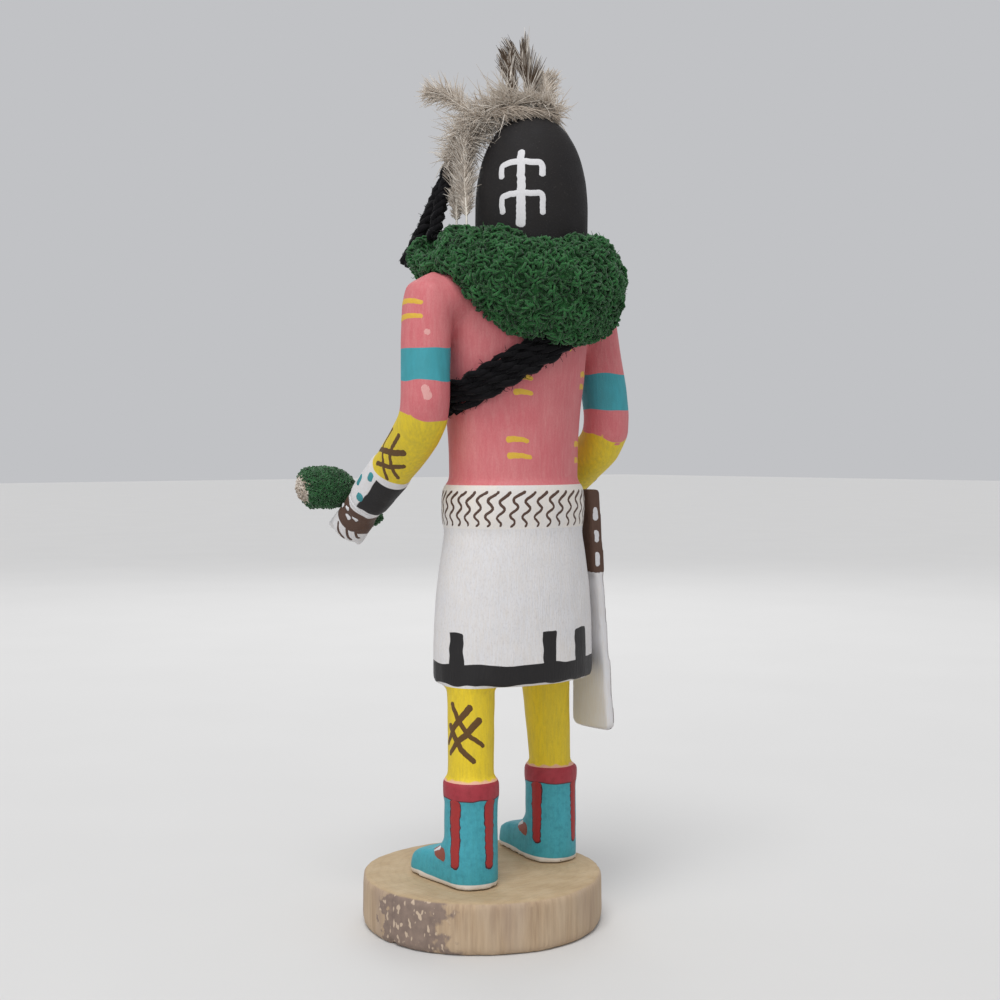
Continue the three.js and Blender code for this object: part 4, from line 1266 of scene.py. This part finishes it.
class Plumage:
    """The feathers on the crown and beside the left ear, and the down that they stand in."""

    tuft_spine: Sequence[tuple[float, float, float, float]] = (
        (-16.4, 15.4, 247.6, 3.9), (-9.6, 12.0, 249.4, 4.6), (-2.4, 7.0, 248.0, 5.4), (3.2, 1.6, 243.6, 5.4),
        (6.4, -1.8, 237.2, 5.0), (8.4, -2.4, 231.8, 3.4),
    )
    fringe_line: Sequence[Triple] = ((2.4, 7.4, 244.6), (-1.4, 11.6, 245.8), (-7.5, 14.6, 245.8), (-12.5, 16.4, 245.0))
    toward: Triple = (0.64, 0.77, 0.0)

    def feathers(self) -> list[Feather]:
        """Lists the feathers, crown first."""
        return [
            Feather("crown_plume_1", "crown_feather_1", [(-8.8, 10.2, 247), (-10.2, 10.0, 254), (-9.8, 8.6, 259.4), (-8.8, 7.6, 264.8)], 3.9, self.toward, Vane.CLOSED, 0.1, 11),
            Feather("crown_plume_2", "crown_feather_2", [(-13, 11, 247.2), (-15.4, 11.4, 252), (-16.6, 11, 256.4), (-16.6, 10.4, 260)], 3.4, self.toward, Vane.LOOSE, 0.04, 12),
            Feather("crown_plume_3", "crown_feather_3", [(-5.8, 9.2, 246.8), (-5.2, 8.4, 253), (-4.6, 7.2, 259), (-5.0, 6.2, 264)], 2.6, self.toward, Vane.CLOSED, 0.1, 13),
            Feather("crown_plume_4", "crown_feather_4", [(4.5, 1, 246), (8, -2.4, 250.5), (11.4, -5.6, 252.6), (14.4, -8.4, 253)], 3.4, (0.5, 0.5, 0.7), Vane.WILD, 0.04, 14),
            Feather("side_plume_1", "side_feather_1", [(9.6, -0.6, 204.5), (9.2, -1.2, 214), (8.6, -2.4, 225), (8.2, -2.2, 239)], 3.0, self.toward, Vane.LOOSE, 0.27, 15),
            Feather("side_plume_2", "side_feather_2", [(12.2, 7.6, 204.5), (10.8, 5.6, 214), (9.2, 2.8, 225), (8.2, 1.4, 240)], 3.2, self.toward, Vane.LOOSE, 0.27, 16),
        ]

    def build(self) -> None:
        """Makes the feathers, the down, the fringe and the thread that binds the quills."""
        quill = self.quill_finish()
        barred, downy = self.barb_finish("barred_barbs", 1.0), self.barb_finish("downy_barbs", 0.1)
        mottled = self.barb_finish("mottled_barbs", 0.36)
        for feather in self.feathers():
            quills, barbs = feather.strands()
            finish = barred if feather.vane is Vane.CLOSED else mottled if feather.name.startswith("side") else downy
            horn = quill if feather.name.startswith("side") else finish
            attach(add_object(feather.name, spin_strands(feather.name, barbs), [finish]), "feather_down", feather.node)
            attach(add_object(feather.name + "_quill", spin_strands(feather.name + "_quill", quills, 1), [horn]), "feather_down")
        attach(add_object("crown_down", spin_strands("crown_down", self.tuft()), [downy]), "feather_down", "crown_tuft")
        attach(add_object("crown_fringe", spin_strands("crown_fringe", self.fringe()), [downy]), "feather_down")
        thread = WoolFinish("quill_thread", Tint.THREAD, Tint.DOWN, Tint.THREAD, 0.1).material()
        attach(add_object("quill_thread", spin_strands("quill_thread", self.binding(), 1), [thread]), "feather_down")

    def tuft(self) -> list[Strand]:
        """Grows soft down from a line that runs over the crown to the left ear.

        Returns:
            The barbs.
        """
        rng = np.random.default_rng(5)
        spine = smooth_route([p[:3] for p in self.tuft_spine], 0.25)
        halves = np.interp(np.linspace(0, 1, len(spine)), np.linspace(0, 1, len(self.tuft_spine)), [p[3] for p in self.tuft_spine])
        frames = frames_along(spine)
        barbs = []
        for _ in range(3900):
            i = int(rng.integers(0, len(spine)))
            along, across, up = frames[i]
            angle = rng.random() * 2 * math.pi
            out = across * math.cos(angle) + up * math.sin(angle)
            clump = noise.noise_vector(spine[i] * 0.3 + out * 1.4)
            out = (out + along * 0.5 * rng.normal() + clump * 1.6).normalized()
            start = spine[i] + out * halves[i] * 0.35 * rng.random()
            reach = halves[i] * (0.4 + 0.6 * rng.random() + 0.8 * max(0.0, noise.noise(spine[i] * 0.5 + out)))
            curl = (clump * 2.4 + random_direction(rng) * 0.8 + along * 0.4) * reach * 0.55
            hook = random_direction(rng).cross(out) * reach * 0.75
            points = [start + out * reach * t + curl * t * t + hook * t * t * t for t in (0, 0.4, 0.75, 1.0)]
            barbs.append(Strand(points, [0.1, 0.125, 0.11, 0.03], rng.random(), 0.5 + 0.5 * noise.noise(spine[i] * 0.3)))
        return barbs

    def fringe(self) -> list[Strand]:
        """Hangs short barbs over the edge of the crown.

        Returns:
            The barbs.
        """
        rng = np.random.default_rng(6)
        line = smooth_route(self.fringe_line, 0.2)
        barbs = []
        for _ in range(520):
            i = int(rng.integers(0, len(line)))
            share = i / len(line)
            tress = noise.noise(Vector((share * 24, 0, 0)))
            start = line[i] + random_direction(rng) * 0.9 + Vector((0, 0, 0.9))
            over = Vector((-0.3, 0.8, -0.1)) + random_direction(rng) * 0.45 + Vector((0.35, 0, 0)) * (1 - share)
            reach = 2.4 + 2.6 * rng.random() + 3.0 * tress
            fall = (Vector((-0.5, 0.2, -0.6 + 0.6 * tress)) + random_direction(rng) * 0.35) * reach
            points = [start + over * reach * t * 0.7 + fall * t * t * 0.7 for t in (0, 0.3, 0.6, 0.85, 1.0)]
            barbs.append(Strand(points, [0.1, 0.13, 0.12, 0.09, 0.035], 0.3 + 0.7 * rng.random(), rng.random()))
        return barbs

    def binding(self) -> list[Strand]:
        """Winds thread round the quills where they leave the ruff.

        Returns:
            The thread.
        """
        points = []
        for n in range(73):
            angle, share = n * math.pi / 6, n / 72
            points.append(Vector((10.6 + 1.9 * math.cos(angle), 3.4 + 4.6 * math.sin(angle), 206.0 + 3.4 * share)))
        return [Strand(points, [0.2] * len(points), 0.4)]

    def quill_finish(self) -> bpy.types.Material:
        """Pale horn, a little glossy."""
        graph = ShaderGraph("quill_horn")
        colour = graph.blend(graph.ease(graph.grain(2, (1, 1, 5)), 0.3, 0.8, 0, 0.5), Tint.QUILL, Tint.DOWN)
        return graph.finish(colour, 0.4, graph.grain(0.6, (1, 1, 6)), 0.05, Specular_IOR_Level=0.4)

    def barb_finish(self, name: str, barring: float) -> bpy.types.Material:
        """Brown and cream barbs, barred along the feather by an amount."""
        graph = ShaderGraph(name)
        shade, way, station = graph.attribute("fibre")
        colour = graph.blend(graph.ease(shade, 0.1, 0.9), Tint.DOWN, Tint.DOWN_PALE)
        colour = graph.blend(graph.ease(graph.grain(3.0, detail=2), 0.4, 0.75, 0, 0.35), colour, Tint.DOWN_DARK)
        colour = graph.blend(graph.ease(way, 0.0, 0.45, 0.18, 0.0), colour, Tint.DOWN_DARK)
        bars = graph.maths("SINE", graph.maths("MULTIPLY", graph.maths("ADD", station, graph.maths("MULTIPLY", way, 0.3)), 16.0))
        streak = graph.maths("ADD", graph.maths("MULTIPLY", bars, 0.3), graph.ease(shade, 0, 1, 1.5, -0.1))
        dark = graph.maths("MULTIPLY", graph.ease(streak, 0.0, 0.8), barring)
        colour = graph.blend(dark, colour, Tint.PLUME)
        return graph.finish(colour, 0.75, None, 0.0, Sheen_Weight=0.15, Sheen_Roughness=0.5, Specular_IOR_Level=0.2)


@dataclass
class GreenSprig:
    """The fuzzy green sprig that the left hand holds, with its straw-coloured core at the end."""

    route: Sequence[Triple] = ((41.5, -41, 131), (34, -38.6, 132.4), (27, -37, 131), (21, -33.4, 125.4), (15.6, -30.4, 120.6))
    fibres: int = 3500
    core_fibres: int = 420

    def build(self) -> None:
        """Makes the sprig's heart, its fuzz and its core."""
        rng = np.random.default_rng(9)
        shape = carving("green_sprig", 0.8, 3, 1.2)
        spots = scattered_spots(shape.copy(), self.fibres, rng)
        green = WoolFinish("green_fuzz", Tint.GREEN, Tint.MOSS, Tint.GREEN_DARK, 0.3, 2.0).material()
        straw = WoolFinish("straw_fuzz", Tint.DOWN, Tint.DOWN_PALE, Tint.DOWN_DARK, 0.2, 2.0).material()
        attach(add_object("sprig_heart", to_mesh(shape, "sprig_heart"), [green]), "green_fuzz", "green_sprig")
        end, way = Vector(self.route[0]), (Vector(self.route[0]) - Vector(self.route[1])).normalized()
        fuzz, core = [], []
        for spot, normal in spots:
            lean = (normal * 0.35 + random_direction(rng)).normalized()
            swirl = lean.cross(normal) * (0.8 + rng.random())
            reach = 0.9 + 0.9 * rng.random()
            points = [spot - normal * 0.3, spot + normal * 0.55 + lean * 0.3 * reach, spot + normal * 0.75 * reach + swirl * 0.5, spot + normal * 0.35 + swirl * reach]
            near_core = (spot - end).dot(way) > -3.4 and ((spot - end) - way * (spot - end).dot(way)).length < 4.2
            (core if near_core else fuzz).append(Strand(points, [0.24, 0.26, 0.24, 0.12], rng.random()))
        attach(add_object("sprig_fuzz", spin_strands("sprig_fuzz", fuzz), [green]), "green_fuzz")
        attach(add_object("sprig_core", spin_strands("sprig_core", core), [straw]), "green_fuzz")


@dataclass
class Studio:
    """The wide pale floor, the soft lights and the camera."""

    eye: Triple = (0.2922, 0.3566, 0.1439)
    heading: float = 140.0
    lens: float = 54.0
    drop: float = -0.05

    def camera(self) -> None:
        """Sets the camera level, at the doll's back left."""
        data = bpy.data.cameras.new("camera")
        data.lens, data.sensor_width, data.shift_y = self.lens, 36.0, self.drop
        data.clip_start = 0.01
        camera = bpy.data.objects.new("camera", data)
        camera.location = self.eye
        camera.rotation_euler = (math.pi / 2, 0, math.radians(self.heading))
        bpy.context.collection.objects.link(camera)
        bpy.context.scene.camera = camera

    def floor(self) -> None:
        """Lays a wide pale floor."""
        shape = bmesh.new()
        bmesh.ops.create_grid(shape, x_segments=8, y_segments=8, size=6.0)
        graph = ShaderGraph("floor_paper")
        colour = graph.blend(graph.grain(90), (0.62, 0.615, 0.605, 1), (0.65, 0.645, 0.635, 1))
        floor = add_object("floor", to_mesh(shape, "floor"), [graph.finish(colour, 0.8)])

    def lights(self) -> None:
        """Hangs a broad even key, two soft panels and a pale surround."""
        for name, kind, place, power, size in (
            ("key", "SUN", (0.35, 0.25, 0.95), 1.6, 0.5),
            ("fill", "AREA", (0.95, 0.5, 0.45), 2.3, 0.8),
            ("rim", "AREA", (-0.6, -0.75, 0.8), 2.6, 0.8),
        ):
            data = bpy.data.lights.new(name, kind)
            data.energy = power
            setattr(data, "angle" if kind == "SUN" else "size", size)
            light = bpy.data.objects.new(name, data)
            light.location = place
            light.rotation_euler = (Vector((0, 0, 0.12)) - Vector(place)).to_track_quat("-Z", "Y").to_euler()
            bpy.context.collection.objects.link(light)
        world = bpy.data.worlds.new("surround")
        world.use_nodes = True
        world.node_tree.nodes["Background"].inputs[0].default_value = (0.86, 0.87, 0.9, 1)
        world.node_tree.nodes["Background"].inputs[1].default_value = 0.62
        bpy.context.scene.world = world
        bpy.context.scene.view_settings.view_transform = "Standard"


def main() -> None:
    """Builds the camera, the cords and then every sub-assembly, and reports each piece."""
    logging.basicConfig(level=logging.INFO, format="%(message)s")
    studio = Studio()
    studio.camera()
    HairStrands().build()
    figure = CarvedFigure()
    figure.build()
    PaintedDesigns(figure).dress()
    BaseSlice().build()
    HipSash().build()
    YarnRuff().build()
    Bandolier().build()
    Plumage().build()
    GreenSprig().build()
    studio.floor()
    studio.lights()


if __name__ == "__main__":
    main()
